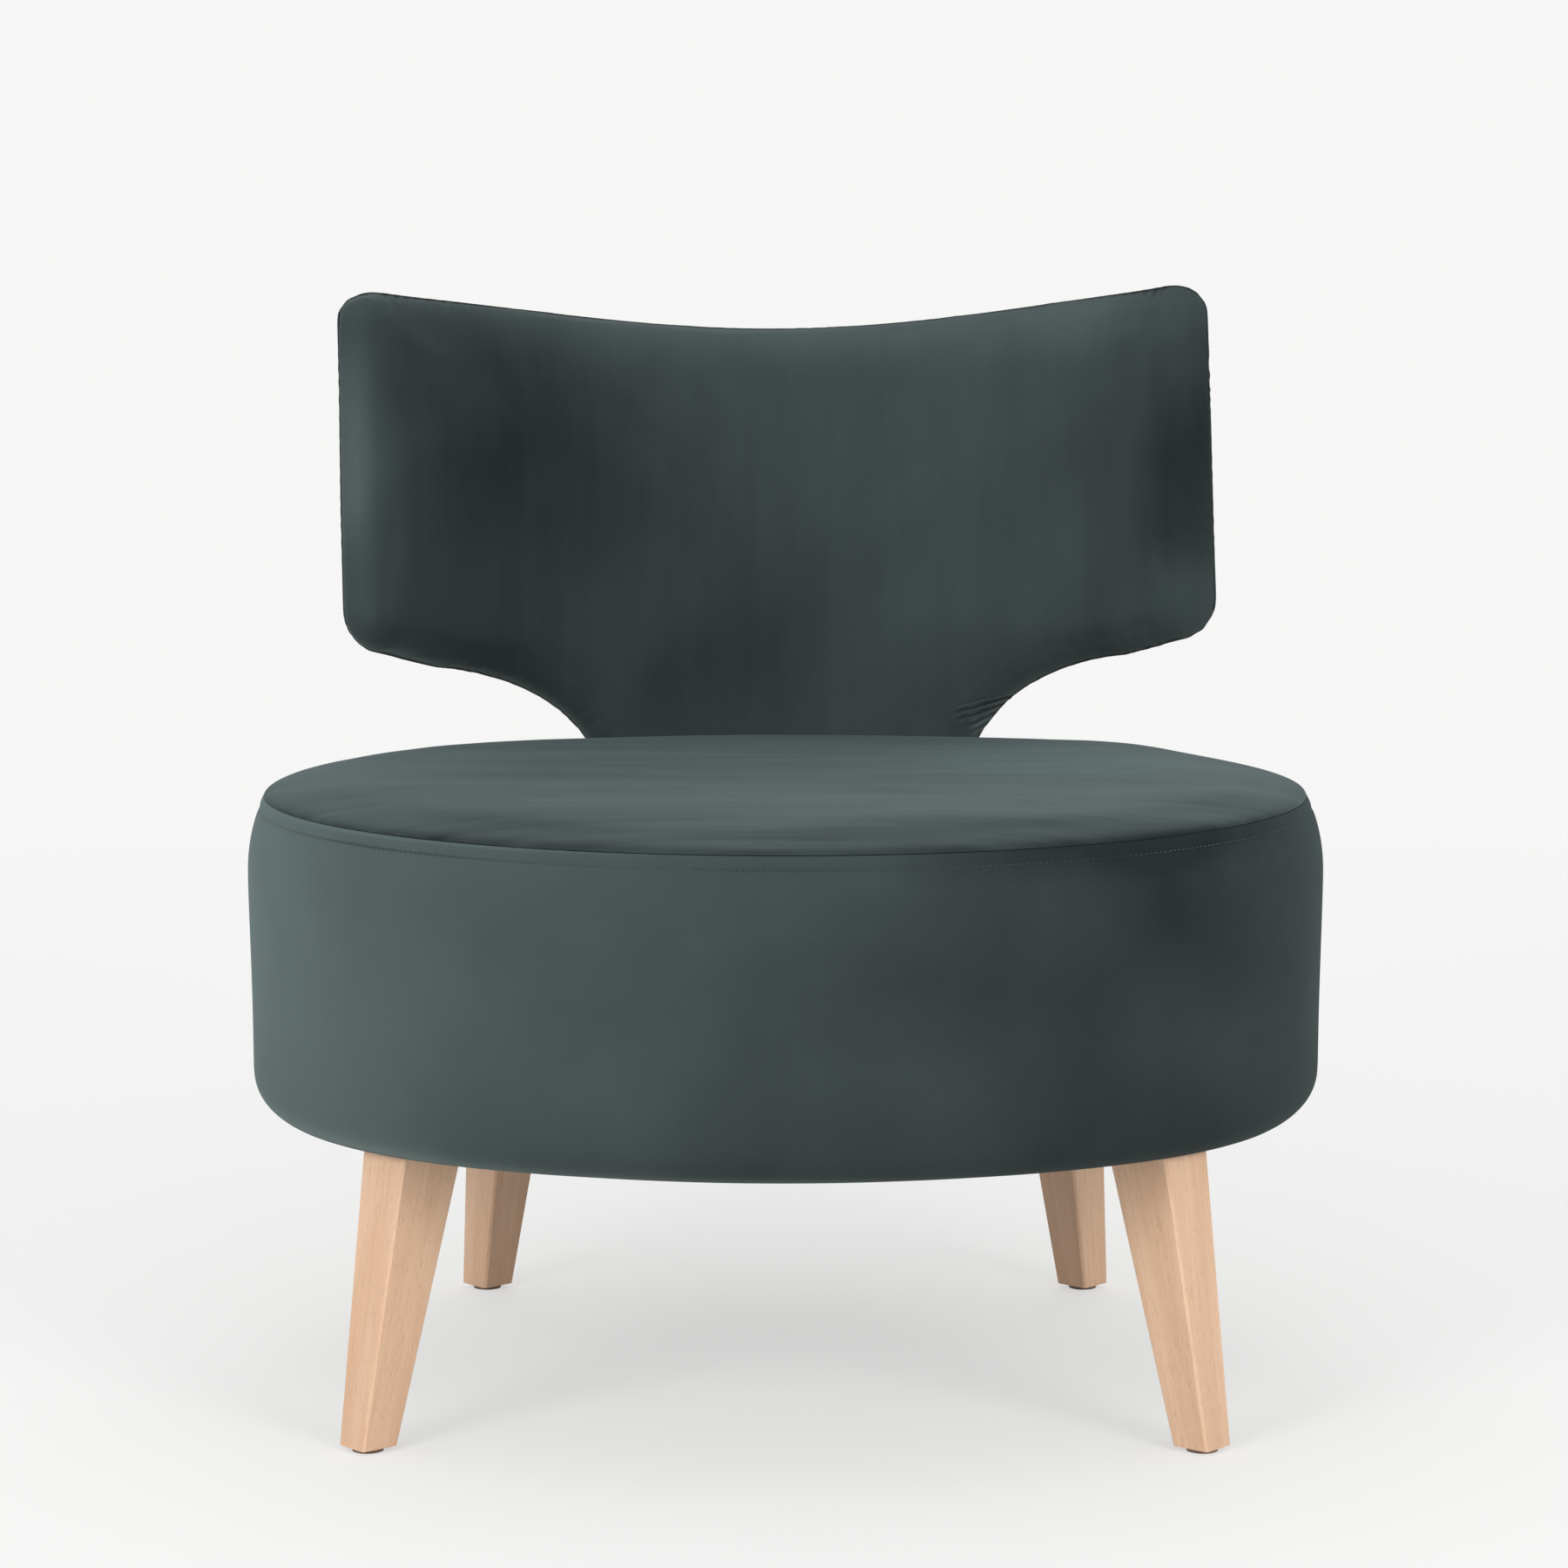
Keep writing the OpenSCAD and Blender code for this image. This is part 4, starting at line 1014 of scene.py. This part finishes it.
back_front = half_of_pad(-1, "back_front_velvet", front_velvet)
back_rear = half_of_pad(1, "back_rear_velvet", rear_velvet)
bpy.data.objects.remove(pad)
print("back pieces", len(back_front.data.vertices), len(back_rear.data.vertices), "points")

# %% [markdown]
# The covers are pulled tight round the edge, and the seam's stitches pull small puckers into the cloth. A
# noise would scatter them, but real ones follow the seam. So each point needs its nearest place on the
# outline, and how far along the seam that is. A tree of the outline's points finds it quickly.

# %% The seam's line
LINE_STEP = 0.003


def even_line(points, pitch):
    """Points at even steps along a closed line, and the length up to each."""
    ends = np.array([*points, points[0]])
    lengths = np.concatenate([[0], np.cumsum(np.linalg.norm(np.diff(ends, axis=0), axis=1))])
    along = np.arange(0, lengths[-1], pitch)
    return np.stack([np.interp(along, lengths, ends[:, k]) for k in (0, 1)], axis=1), along


seam_line, seam_along = even_line(outline, LINE_STEP)
tree = KDTree(len(seam_line))
for i, (a, z) in enumerate(seam_line):
    tree.insert((a, 0, z), i)
tree.balance()


def near_seam(points):
    """How far each flat point lies from the outline, and the place along the seam there."""
    found = [tree.find((a, 0, z)) for a, _, z in points]
    return np.array([f[2] for f in found]), np.array([seam_along[f[1]] for f in found])


def normals_of(mesh):
    flat = np.empty(len(mesh.vertices) * 3)
    mesh.vertices.foreach_get("normal", flat)
    return flat.reshape(-1, 3)


print("seam length", round(float(seam_along[-1]), 3))

# %% Puckers beside the seam
PUCKER_PITCH = 0.0115
PUCKER_DEPTH = 0.00030
PUCKER_OFF = 0.006
PUCKER_GROUP = 0.05
PUCKER_SHIFT = 1.4
PUCKER_LEAST = 0.3
PUCKER_MORE = 2.2
PUCKER_MOST = 1.2


def pucker(thing, seed):
    """Small waves beside the seam, strong in some places and missing in others."""
    points = points_of(thing.data)
    off, along = near_seam(points)
    waver = np.array([noise.noise((s / PUCKER_GROUP, seed, 0)) for s in along])
    wave = np.cos(math.tau * (along / PUCKER_PITCH + PUCKER_SHIFT * waver))
    strength = np.clip(PUCKER_LEAST + PUCKER_MORE * waver, 0.0, PUCKER_MOST)
    reach = np.exp(-((off - PUCKER_OFF) / PUCKER_OFF) ** 2)
    points += normals_of(thing.data) * (PUCKER_DEPTH * wave * strength * reach)[:, None]
    set_points(thing.data, points)


for thing, seed in ((back_front, 3.0), (back_rear, 9.0)):
    pucker(thing, seed)
print("puckers along the seam", round(seam_along[-1] / PUCKER_PITCH))

# %% [markdown]
# Now the flat pieces bend round the drum's axis and lean back, exactly as the plywood panel does. A Simple
# Deform modifier could bend them, but it can't press them. Here a formula does both: where the neck runs
# down behind the drum, the front pad is pressed flat against it.

# %% Bending the back
DRUM_PLAY = 0.0008
LEFT_OUT = (0.001, 0.006)
RIGHT_OUT = (0.000, -0.007)


def pulled(a, z):
    """How far each point of the wings was pulled sideways, from the wings' lower to their upper edge."""
    high = np.clip((z - WING_Z) / (TOP_Z - WING_Z), 0, 1)
    wing = np.clip((np.abs(a) - NECK_HALF) / (WING_HALF - NECK_HALF), 0, 1) ** 2
    left = -(LEFT_OUT[0] + (LEFT_OUT[1] - LEFT_OUT[0]) * high)
    right = RIGHT_OUT[0] + (RIGHT_OUT[1] - RIGHT_OUT[0]) * high
    return np.where(a < 0, left, right) * wing


def drum_reach(turn, z):
    """Distance from the leaning axis to the drum's side, at an angle and a height along the slope."""
    clear = SEAT_R + DRUM_PLAY
    square = np.sin(turn) ** 2 + (np.cos(turn) * math.cos(LEAN)) ** 2
    slope = 2 * np.cos(turn) * math.cos(LEAN) * z * math.sin(LEAN)
    rest = (z * math.sin(LEAN)) ** 2 - clear ** 2
    return (-slope + np.sqrt(slope ** 2 - 4 * square * rest)) / (2 * square)


def bend(thing):
    """Bends a flat piece and keeps its flat place as an attribute."""
    points = points_of(thing.data)
    kept = thing.data.attributes.new("flat", "FLOAT_VECTOR", "POINT")
    kept.data.foreach_set("vector", points.astype(np.float32).ravel())
    a, y, z = points.T
    turn = a / BACK_R
    r = np.maximum(BACK_R + y, drum_reach(turn, z))
    x, out = r * np.sin(turn), r * np.cos(turn)
    bent = np.stack([x, AXIS_Y + out * math.cos(LEAN) + z * math.sin(LEAN),
                     PIVOT_H - out * math.sin(LEAN) + z * math.cos(LEAN)], axis=1)
    bent[:, 0] += pulled(a, z)
    set_points(thing.data, bent)


for thing in (back_front, back_rear):
    bend(thing)
    thing.data.polygons.foreach_set("use_smooth", [True] * len(thing.data.polygons))
    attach(thing, "root")
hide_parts("back_front_cover", "back_front_foam")
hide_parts("back_rear_cover", "back_rear_foam")
print("back bent, top at", round(points_of(back_front.data)[:, 2].max(), 4))

# %% [markdown]
# ## Under the seat
# A black non-woven cloth is stapled under the frame and hides the webbing. It hangs down a little between
# its staples. Its sag is so small that a formula gives it as well as a simulation would.

# %% The dust cloth's finish
DUST_DARK = (0.006, 0.006, 0.006, 1)
DUST_PALE = (0.022, 0.021, 0.021, 1)


def dust_paint(wire):
    spot = in_place(wire)
    specks = spot.noise(420.0, 3.0, 0.8)
    felted = spot.noise(60.0, 3.0)
    return {"Base Color": (specks * 0.6 + felted * 0.4).between(0.3, 0.7).mix(DUST_DARK, DUST_PALE),
            "Roughness": specks * 0.2 + 0.75, "Normal": bumped(specks, 0.0004)}


dust_black = finish("dust_cloth", dust_paint, Roughness=0.85, Sheen_Weight=0.15)
print("finish", dust_black.name)

# %% The dust cloth
dust_low, dust_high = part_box("dust_cover")
DUST_R = (dust_high.x - dust_low.x) / 2
DUST_RINGS = 24
DUST_STEPS = 144
DUST_SAG = 0.004
DUST_UNEVEN = 0.0012
DUST_LUMPS = 11
DUST_THICK = 0.0005
STAPLES = 44
PULL_FROM = 0.86
PULL_SAG = 0.0063
bm = bmesh.new()
spokes = [DUST_R * (1 - i / DUST_RINGS) for i in range(DUST_RINGS + 1)]
spoke = [bm.verts.new((0, AXIS_Y - r, dust_high.z)) for r in spokes]
lines = [bm.edges.new(pair) for pair in zip(spoke, spoke[1:])]
bmesh.ops.spin(bm, geom=spoke + lines, cent=(0, AXIS_Y, 0), axis=(0, 0, 1), dvec=(0, 0, 0),
               angle=math.tau, steps=DUST_STEPS, use_merge=True, use_duplicate=False)
bmesh.ops.remove_doubles(bm, verts=bm.verts, dist=1e-6)
for v in bm.verts:
    flat = Vector((v.co.x, v.co.y - AXIS_Y, 0))
    share = min(1.0, flat.length / DUST_R)
    pull = max(0.0, share - PULL_FROM) / (1 - PULL_FROM) * (1 - share)
    wave = math.cos(STAPLES * math.atan2(flat.y, flat.x))
    v.co.z -= DUST_SAG * (1 - share ** 2) ** 0.8 + PULL_SAG * pull * (1 - wave)
    v.co.z -= DUST_UNEVEN * (1 - share ** 4) * (1 + noise.noise(v.co * DUST_LUMPS))
dust = piece(bm, "dust_cloth", dust_black)
thick = dust.modifiers.new("cloth", "SOLIDIFY")
thick.thickness = DUST_THICK
thick.offset = 0
settle(dust, "dust_cloth")
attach(dust, "root")
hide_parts("dust_cover")
print("dust cloth radius", round(DUST_R, 3))

# %% [markdown]
# The belts that carry the foam are woven elastic webbing, with fine ribs across. The solid belts already run
# over and under each other, so they are copied, and only their sharp edges are rounded.

# %% The belts' finish
WEB_DARK = (0.020, 0.018, 0.016, 1)
WEB_PALE = (0.085, 0.075, 0.066, 1)
WEB_RIBS = 1900


def webbing_paint(wire):
    spot = in_place(wire)
    ribs = ((spot.part("X") + spot.part("Y")) * WEB_RIBS).maths("SINE").between(-0.6, 0.6)
    fuzz = spot.noise(300.0)
    return {"Base Color": (ribs * 0.7 + fuzz * 0.3).mix(WEB_DARK, WEB_PALE), "Normal": bumped(ribs, 0.0004)}


webbing_grey = finish("webbing_belt", webbing_paint, Roughness=0.8, Sheen_Weight=0.1)
print("finish", webbing_grey.name)

# %% Belts
BELT_EDGE = 0.0004
SHARP = 0.7


def rounded_copy(node, name, material, edge):
    """A solid part's mesh, merged and with its edges rounded."""
    copy = bmesh.new()
    copy.from_mesh(nodes[node].data)
    bmesh.ops.remove_doubles(copy, verts=copy.verts, dist=1e-6)
    sharp = [e for e in copy.edges if len(e.link_faces) == 2 and e.calc_face_angle() > SHARP]
    bmesh.ops.bevel(copy, geom=sharp, offset=edge, offset_type="OFFSET", segments=2, profile=0.5,
                    affect="EDGES", material=-1, clamp_overlap=True)
    return piece(copy, name, material, smooth=False)


for way in ("lengthwise", "crosswise"):
    belts = rounded_copy(f"webbing_{way}", f"belts_{way}", webbing_grey, BELT_EDGE)
    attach(belts, "root")
    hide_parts(f"webbing_{way}")
    print(belts.name, len(belts.data.polygons), "faces")

# %% [markdown]
# ## Beech legs
# Beech is pale and pinkish, with a fine straight grain and short dark flecks along it. A photograph of wood
# on a UV map could show it, but noise over the place in space has no seams at the leg's edges, and shows end
# grain where the wood is cut. The grain has to run along each leg, and the legs lean four ways, so each leg
# has its own finish whose pattern is turned with it. Each also comes from another board, so the boards'
# places in the pattern differ.

# %% Beech
BEECH_DARK = (0.640, 0.400, 0.255, 1)
BEECH_PALE = (0.740, 0.500, 0.345, 1)
BEECH_LINE = (0.540, 0.320, 0.190, 1)
BEECH_FLECK = (0.320, 0.170, 0.095, 1)
LINE_SHARE = 0.30
FLECK_SHARE = 0.28
BOARD_APART = (0.31, 0.17, 0.23)


def grain_place(wire, turn, splay, board):
    """The place in a leg's own directions, with Z along the leg."""
    lean = Matrix.Rotation(math.radians(turn), 3, "Z") @ Matrix.Rotation(-math.radians(splay), 3, "Y")
    return wire.node("ShaderNodeMapping", {"vector_type": "POINT"},
                     {"Vector": in_place(wire), "Rotation": lean.inverted().to_euler("XYZ"),
                      "Location": [apart * board for apart in BOARD_APART]})


def beech(name, turn, splay, board):
    def paint(wire):
        spot = grain_place(wire, turn, splay, board)
        figure = spot.stretched(26, 26, 2.2).noise(1.0, 3.0, 0.55, 0.8)
        lines = spot.stretched(330, 330, 5.0).noise(1.0, 3.0, 0.6)
        flecks = spot.stretched(1300, 1300, 150).noise(1.0, 1.0, 0.4)
        fleck = flecks.between(0.60, 0.74)
        wood = figure.between(0.25, 0.75).mix(BEECH_DARK, BEECH_PALE)
        lined = (lines.between(0.35, 0.75) * LINE_SHARE).mix(wood, BEECH_LINE)
        return {"Base Color": (fleck * FLECK_SHARE).mix(lined, BEECH_FLECK),
                "Roughness": lines * 0.2 + 0.42,
                "Normal": bumped(1 - fleck * 0.6 - lines * 0.4, 0.0003, 0.5)}
    return finish(name, paint, Specular_IOR_Level=0.4)


print("beech from", BEECH_DARK[:3], "to", BEECH_PALE[:3])

# %% The four legs, each with its turn round the seat and its splay in degrees
LEGS = {"front_left": (-139.0, 11.3), "front_right": (-41.0, 11.3),
        "rear_left": (133.3, 9.0), "rear_right": (46.7, 9.0)}


def dress(node, material):
    """Gives a solid part its finish."""
    slots = nodes[node].data.materials
    slots.clear()
    slots.append(material)


for board, (leg, (turn, splay)) in enumerate(LEGS.items(), start=1):
    dress(f"leg_{leg}", beech(f"beech_{leg}", turn, splay, board))
print("legs", list(LEGS))

# %% [markdown]
# ## The parts inside, and the metal
# Most of these never show, but they are what the chair is made of, so each has its finish: plywood with its
# layers, pine, zinc-plated steel and moulded plastic. The layers of a flat board are a wave of the height,
# and those of a bent one a wave of the distance from the drum's axis. A narrow side of the packer shows
# between the drum and the back, so that wood is stained dark.

# %% Plywood and pine
PLY_PALE = (0.640, 0.470, 0.275, 1)
PLY_DARK = (0.330, 0.200, 0.095, 1)
FLAT_LAYER = 0.0036
BENT_LAYER = 0.0030
PINE_PALE = (0.700, 0.500, 0.290, 1)
PINE_DARK = (0.480, 0.270, 0.120, 1)
STAIN_PALE = (0.028, 0.027, 0.025, 1)
STAIN_DARK = (0.014, 0.013, 0.012, 1)


def ply_paint(pitch, bent):
    def paint(wire):
        spot = in_place(wire)
        if bent:
            depth = spot.vector("SUBTRACT", (0, AXIS_Y, 0)).stretched(1, 1, 0).length()
        else:
            depth = spot.part("Z")
        layer = (depth * (math.tau / pitch)).maths("SINE").between(-0.3, 0.3)
        grain = spot.stretched(30, 240, 240).noise(1.0, 3.0, 0.6, 0.5)
        tone = layer * 0.45 + grain * 0.55
        return {"Base Color": tone.between(0.1, 0.9).mix(PLY_DARK, PLY_PALE),
                "Roughness": grain * 0.2 + 0.55, "Normal": bumped(tone, 0.0003, 0.4)}
    return paint


def pine_paint(pale, dark):
    def paint(wire):
        spot = in_place(wire)
        rings = spot.stretched(70, 9, 70).noise(1.0, 2.0, 0.5, 1.2)
        grain = spot.stretched(500, 14, 500).noise(1.0, 3.0)
        tone = rings * 0.7 + grain * 0.3
        return {"Base Color": tone.between(0.3, 0.7).mix(pale, dark),
                "Roughness": grain * 0.2 + 0.5, "Normal": bumped(tone, 0.0003, 0.4)}
    return paint


ply_flat = finish("plywood_rings", ply_paint(FLAT_LAYER, False))
ply_bent = finish("plywood_bent", ply_paint(BENT_LAYER, True))
pine = finish("pine_blocks", pine_paint(PINE_PALE, PINE_DARK))
stained = finish("pine_stained", pine_paint(STAIN_PALE, STAIN_DARK))
print("woods", [wood.name for wood in (ply_flat, ply_bent, pine, stained)])

# %% Zinc and plastic
ZINC_DARK = (0.46, 0.47, 0.49, 1)
ZINC_PALE = (0.66, 0.66, 0.66, 1)
PLASTIC_DARK = (0.120, 0.080, 0.055, 1)
PLASTIC_WORN = (0.210, 0.145, 0.105, 1)


def zinc_paint(wire):
    spot = in_place(wire)
    cloud = spot.noise(90.0, 3.0, 0.6)
    scuff = spot.stretched(900, 900, 200).noise(1.0)
    return {"Base Color": cloud.mix(ZINC_DARK, ZINC_PALE),
            "Roughness": cloud * 0.25 + 0.25, "Normal": bumped(scuff, 0.0001, 0.4)}


def plastic_paint(wire):
    spot = in_place(wire)
    grit = spot.noise(1500.0, 2.0)
    worn = spot.noise(120.0, 3.0)
    return {"Base Color": worn.between(0.4, 0.75).mix(PLASTIC_DARK, PLASTIC_WORN),
            "Roughness": worn * 0.3 + 0.35, "Normal": bumped(grit, 0.0001, 0.5)}


zinc = finish("zinc_steel", zinc_paint, Metallic=1.0)
plastic = finish("glide_plastic", plastic_paint)
print("finishes", zinc.name, plastic.name)

# %% Dressing the inner parts, the metal and the glides
DRESSED = {
    ply_flat: ["top_ring", "base_ring"],
    ply_bent: ["bent_hoop", "back_panel"],
    pine: ["frame_posts", "rear_block", "leg_blocks"],
    stained: ["neck_packer"],
    zinc: ["frame_screws", "leg_bolts", "leg_tee_nuts", "back_bolts", "back_washers", "back_tee_nuts"],
    plastic: [f"glide_{leg}" for leg in LEGS],
}
for material, members in DRESSED.items():
    for node in members:
        dress(node, material)
print("parts dressed", sum(map(len, DRESSED.values())) + len(LEGS))

# %% [markdown]
# ## Staples
# The dust cloth is held by a ring of staples, each a bent wire. Only its bar shows, which lies on the cloth,
# so each is a small rounded bar. A loop sets them, since every one is turned as well as moved.

# %% Staples
STAPLE_L = 0.010
STAPLE_W = 0.0012
STAPLE_H = 0.0007
STAPLE_IN = 0.009
STAPLE_BELOW = 0.0008
STAPLE_EDGE = 0.0002
bm = bmesh.new()
for i in range(STAPLES):
    place = Matrix.Translation((0, AXIS_Y, dust_high.z - STAPLE_BELOW))
    place = place @ Matrix.Rotation(math.tau * i / STAPLES, 4, "Z")
    place = place @ Matrix.Translation((DUST_R - STAPLE_IN, 0, 0)) @ Matrix.Rotation(math.pi / 2, 4, "Z")
    bmesh.ops.create_cube(bm, size=1, matrix=place @ Matrix.Diagonal((STAPLE_L, STAPLE_W, STAPLE_H, 1)))
bmesh.ops.bevel(bm, geom=list(bm.edges), offset=STAPLE_EDGE, offset_type="OFFSET", segments=2, profile=0.5,
                affect="EDGES", material=-1, clamp_overlap=True)
staples = piece(bm, "dust_cloth_staples", zinc)
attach(staples, "root")
print("staples", STAPLES)

# %% [markdown]
# ## The studio
# The chair stands on a pale seamless floor. Far away the floor turns into the same white as the backdrop,
# which only the camera and reflections see. A brighter room could give the same white, but it would wash
# out the velvet, and this way the light on the chair isn't changed.

# %% Backdrop
ROOM_WHITE = (0.925, 0.925, 0.918, 1)
ROOM_LIGHT = (0.62, 0.63, 0.64, 1)


def seen(wire):
    """1 for a ray that the camera, a reflection or a glass sends out."""
    rays = [wire.node("ShaderNodeLightPath", {}, {}, out)
            for out in ("Is Camera Ray", "Is Glossy Ray", "Is Transmission Ray")]
    return (rays[0] + rays[1] + rays[2]).maths("MINIMUM", 1.0)


world = bpy.data.worlds.new("studio")
world.use_nodes = True
scene.world = world
wire = Wire(world.node_tree)
room = wire.node("ShaderNodeBackground", {}, {"Color": ROOM_LIGHT, "Strength": 1.0})
shown = wire.node("ShaderNodeBackground", {}, {"Color": ROOM_WHITE, "Strength": 1.0})
both = wire.node("ShaderNodeMixShader", {}, {0: seen(wire), 1: room, 2: shown})
world.node_tree.links.new(both.socket, world.node_tree.nodes["World Output"].inputs["Surface"])
print("backdrop", ROOM_WHITE[:3], "and its light", ROOM_LIGHT[:3])

# %% Floor
FLOOR_WHITE = (0.840, 0.840, 0.820, 1)
FLOOR_FADE = (0.9, 3.2)
FLOOR_GLOW = 0.6
FLOOR_R = 30

floor_white = bpy.data.materials.new("floor_white")
floor_white.use_nodes = True
tree_of_floor = floor_white.node_tree
wire = Wire(tree_of_floor)
spot = in_place(wire)
share = (spot.length().between(*FLOOR_FADE) * (1 - FLOOR_GLOW) + FLOOR_GLOW) * seen(wire)
lit = wire.node("ShaderNodeBsdfDiffuse", {}, {"Color": FLOOR_WHITE})
glow = wire.node("ShaderNodeEmission", {}, {"Color": ROOM_WHITE})
both = wire.node("ShaderNodeMixShader", {}, {0: share, 1: lit, 2: glow})
tree_of_floor.links.new(both.socket, tree_of_floor.nodes["Material Output"].inputs["Surface"])

bm = bmesh.new()
bmesh.ops.create_circle(bm, cap_ends=True, segments=96, radius=FLOOR_R)
floor = piece(bm, "studio_floor", floor_white)
print("floor radius", FLOOR_R)

# %% [markdown]
# Two soft boxes light the chair from the front, left and right, a wide one from behind and above, and a weak
# one from right above. Small lamps would draw hard shadows, which a studio photograph like this hasn't.

# %% Lamps
def lamp(name, place, aim, size, watts):
    """A large soft box."""
    made = bpy.data.objects.new(name, bpy.data.lights.new(name, "AREA"))
    made.data.shape = "RECTANGLE"
    made.data.size, made.data.size_y = size
    made.data.energy = watts
    made.location = place
    made.rotation_euler = (Vector(aim) - Vector(place)).to_track_quat("-Z", "Y").to_euler()
    scene.collection.objects.link(made)


lamp("soft_box_above", (-0.2, -0.2, 3.0), (0, 0, 0.4), (2.4, 2.4), 12)
lamp("soft_box_behind", (0, 2.4, 2.3), (0, 0.2, 0), (3.0, 1.2), 24)
lamp("soft_box_left", (-1.8, -2.6, 1.55), (0, 0, 0.3), (1.1, 1.1), 42)
lamp("soft_box_right", (1.8, -2.6, 1.55), (0, 0, 0.3), (1.1, 1.1), 40)
print("lamps", len(bpy.data.lights))
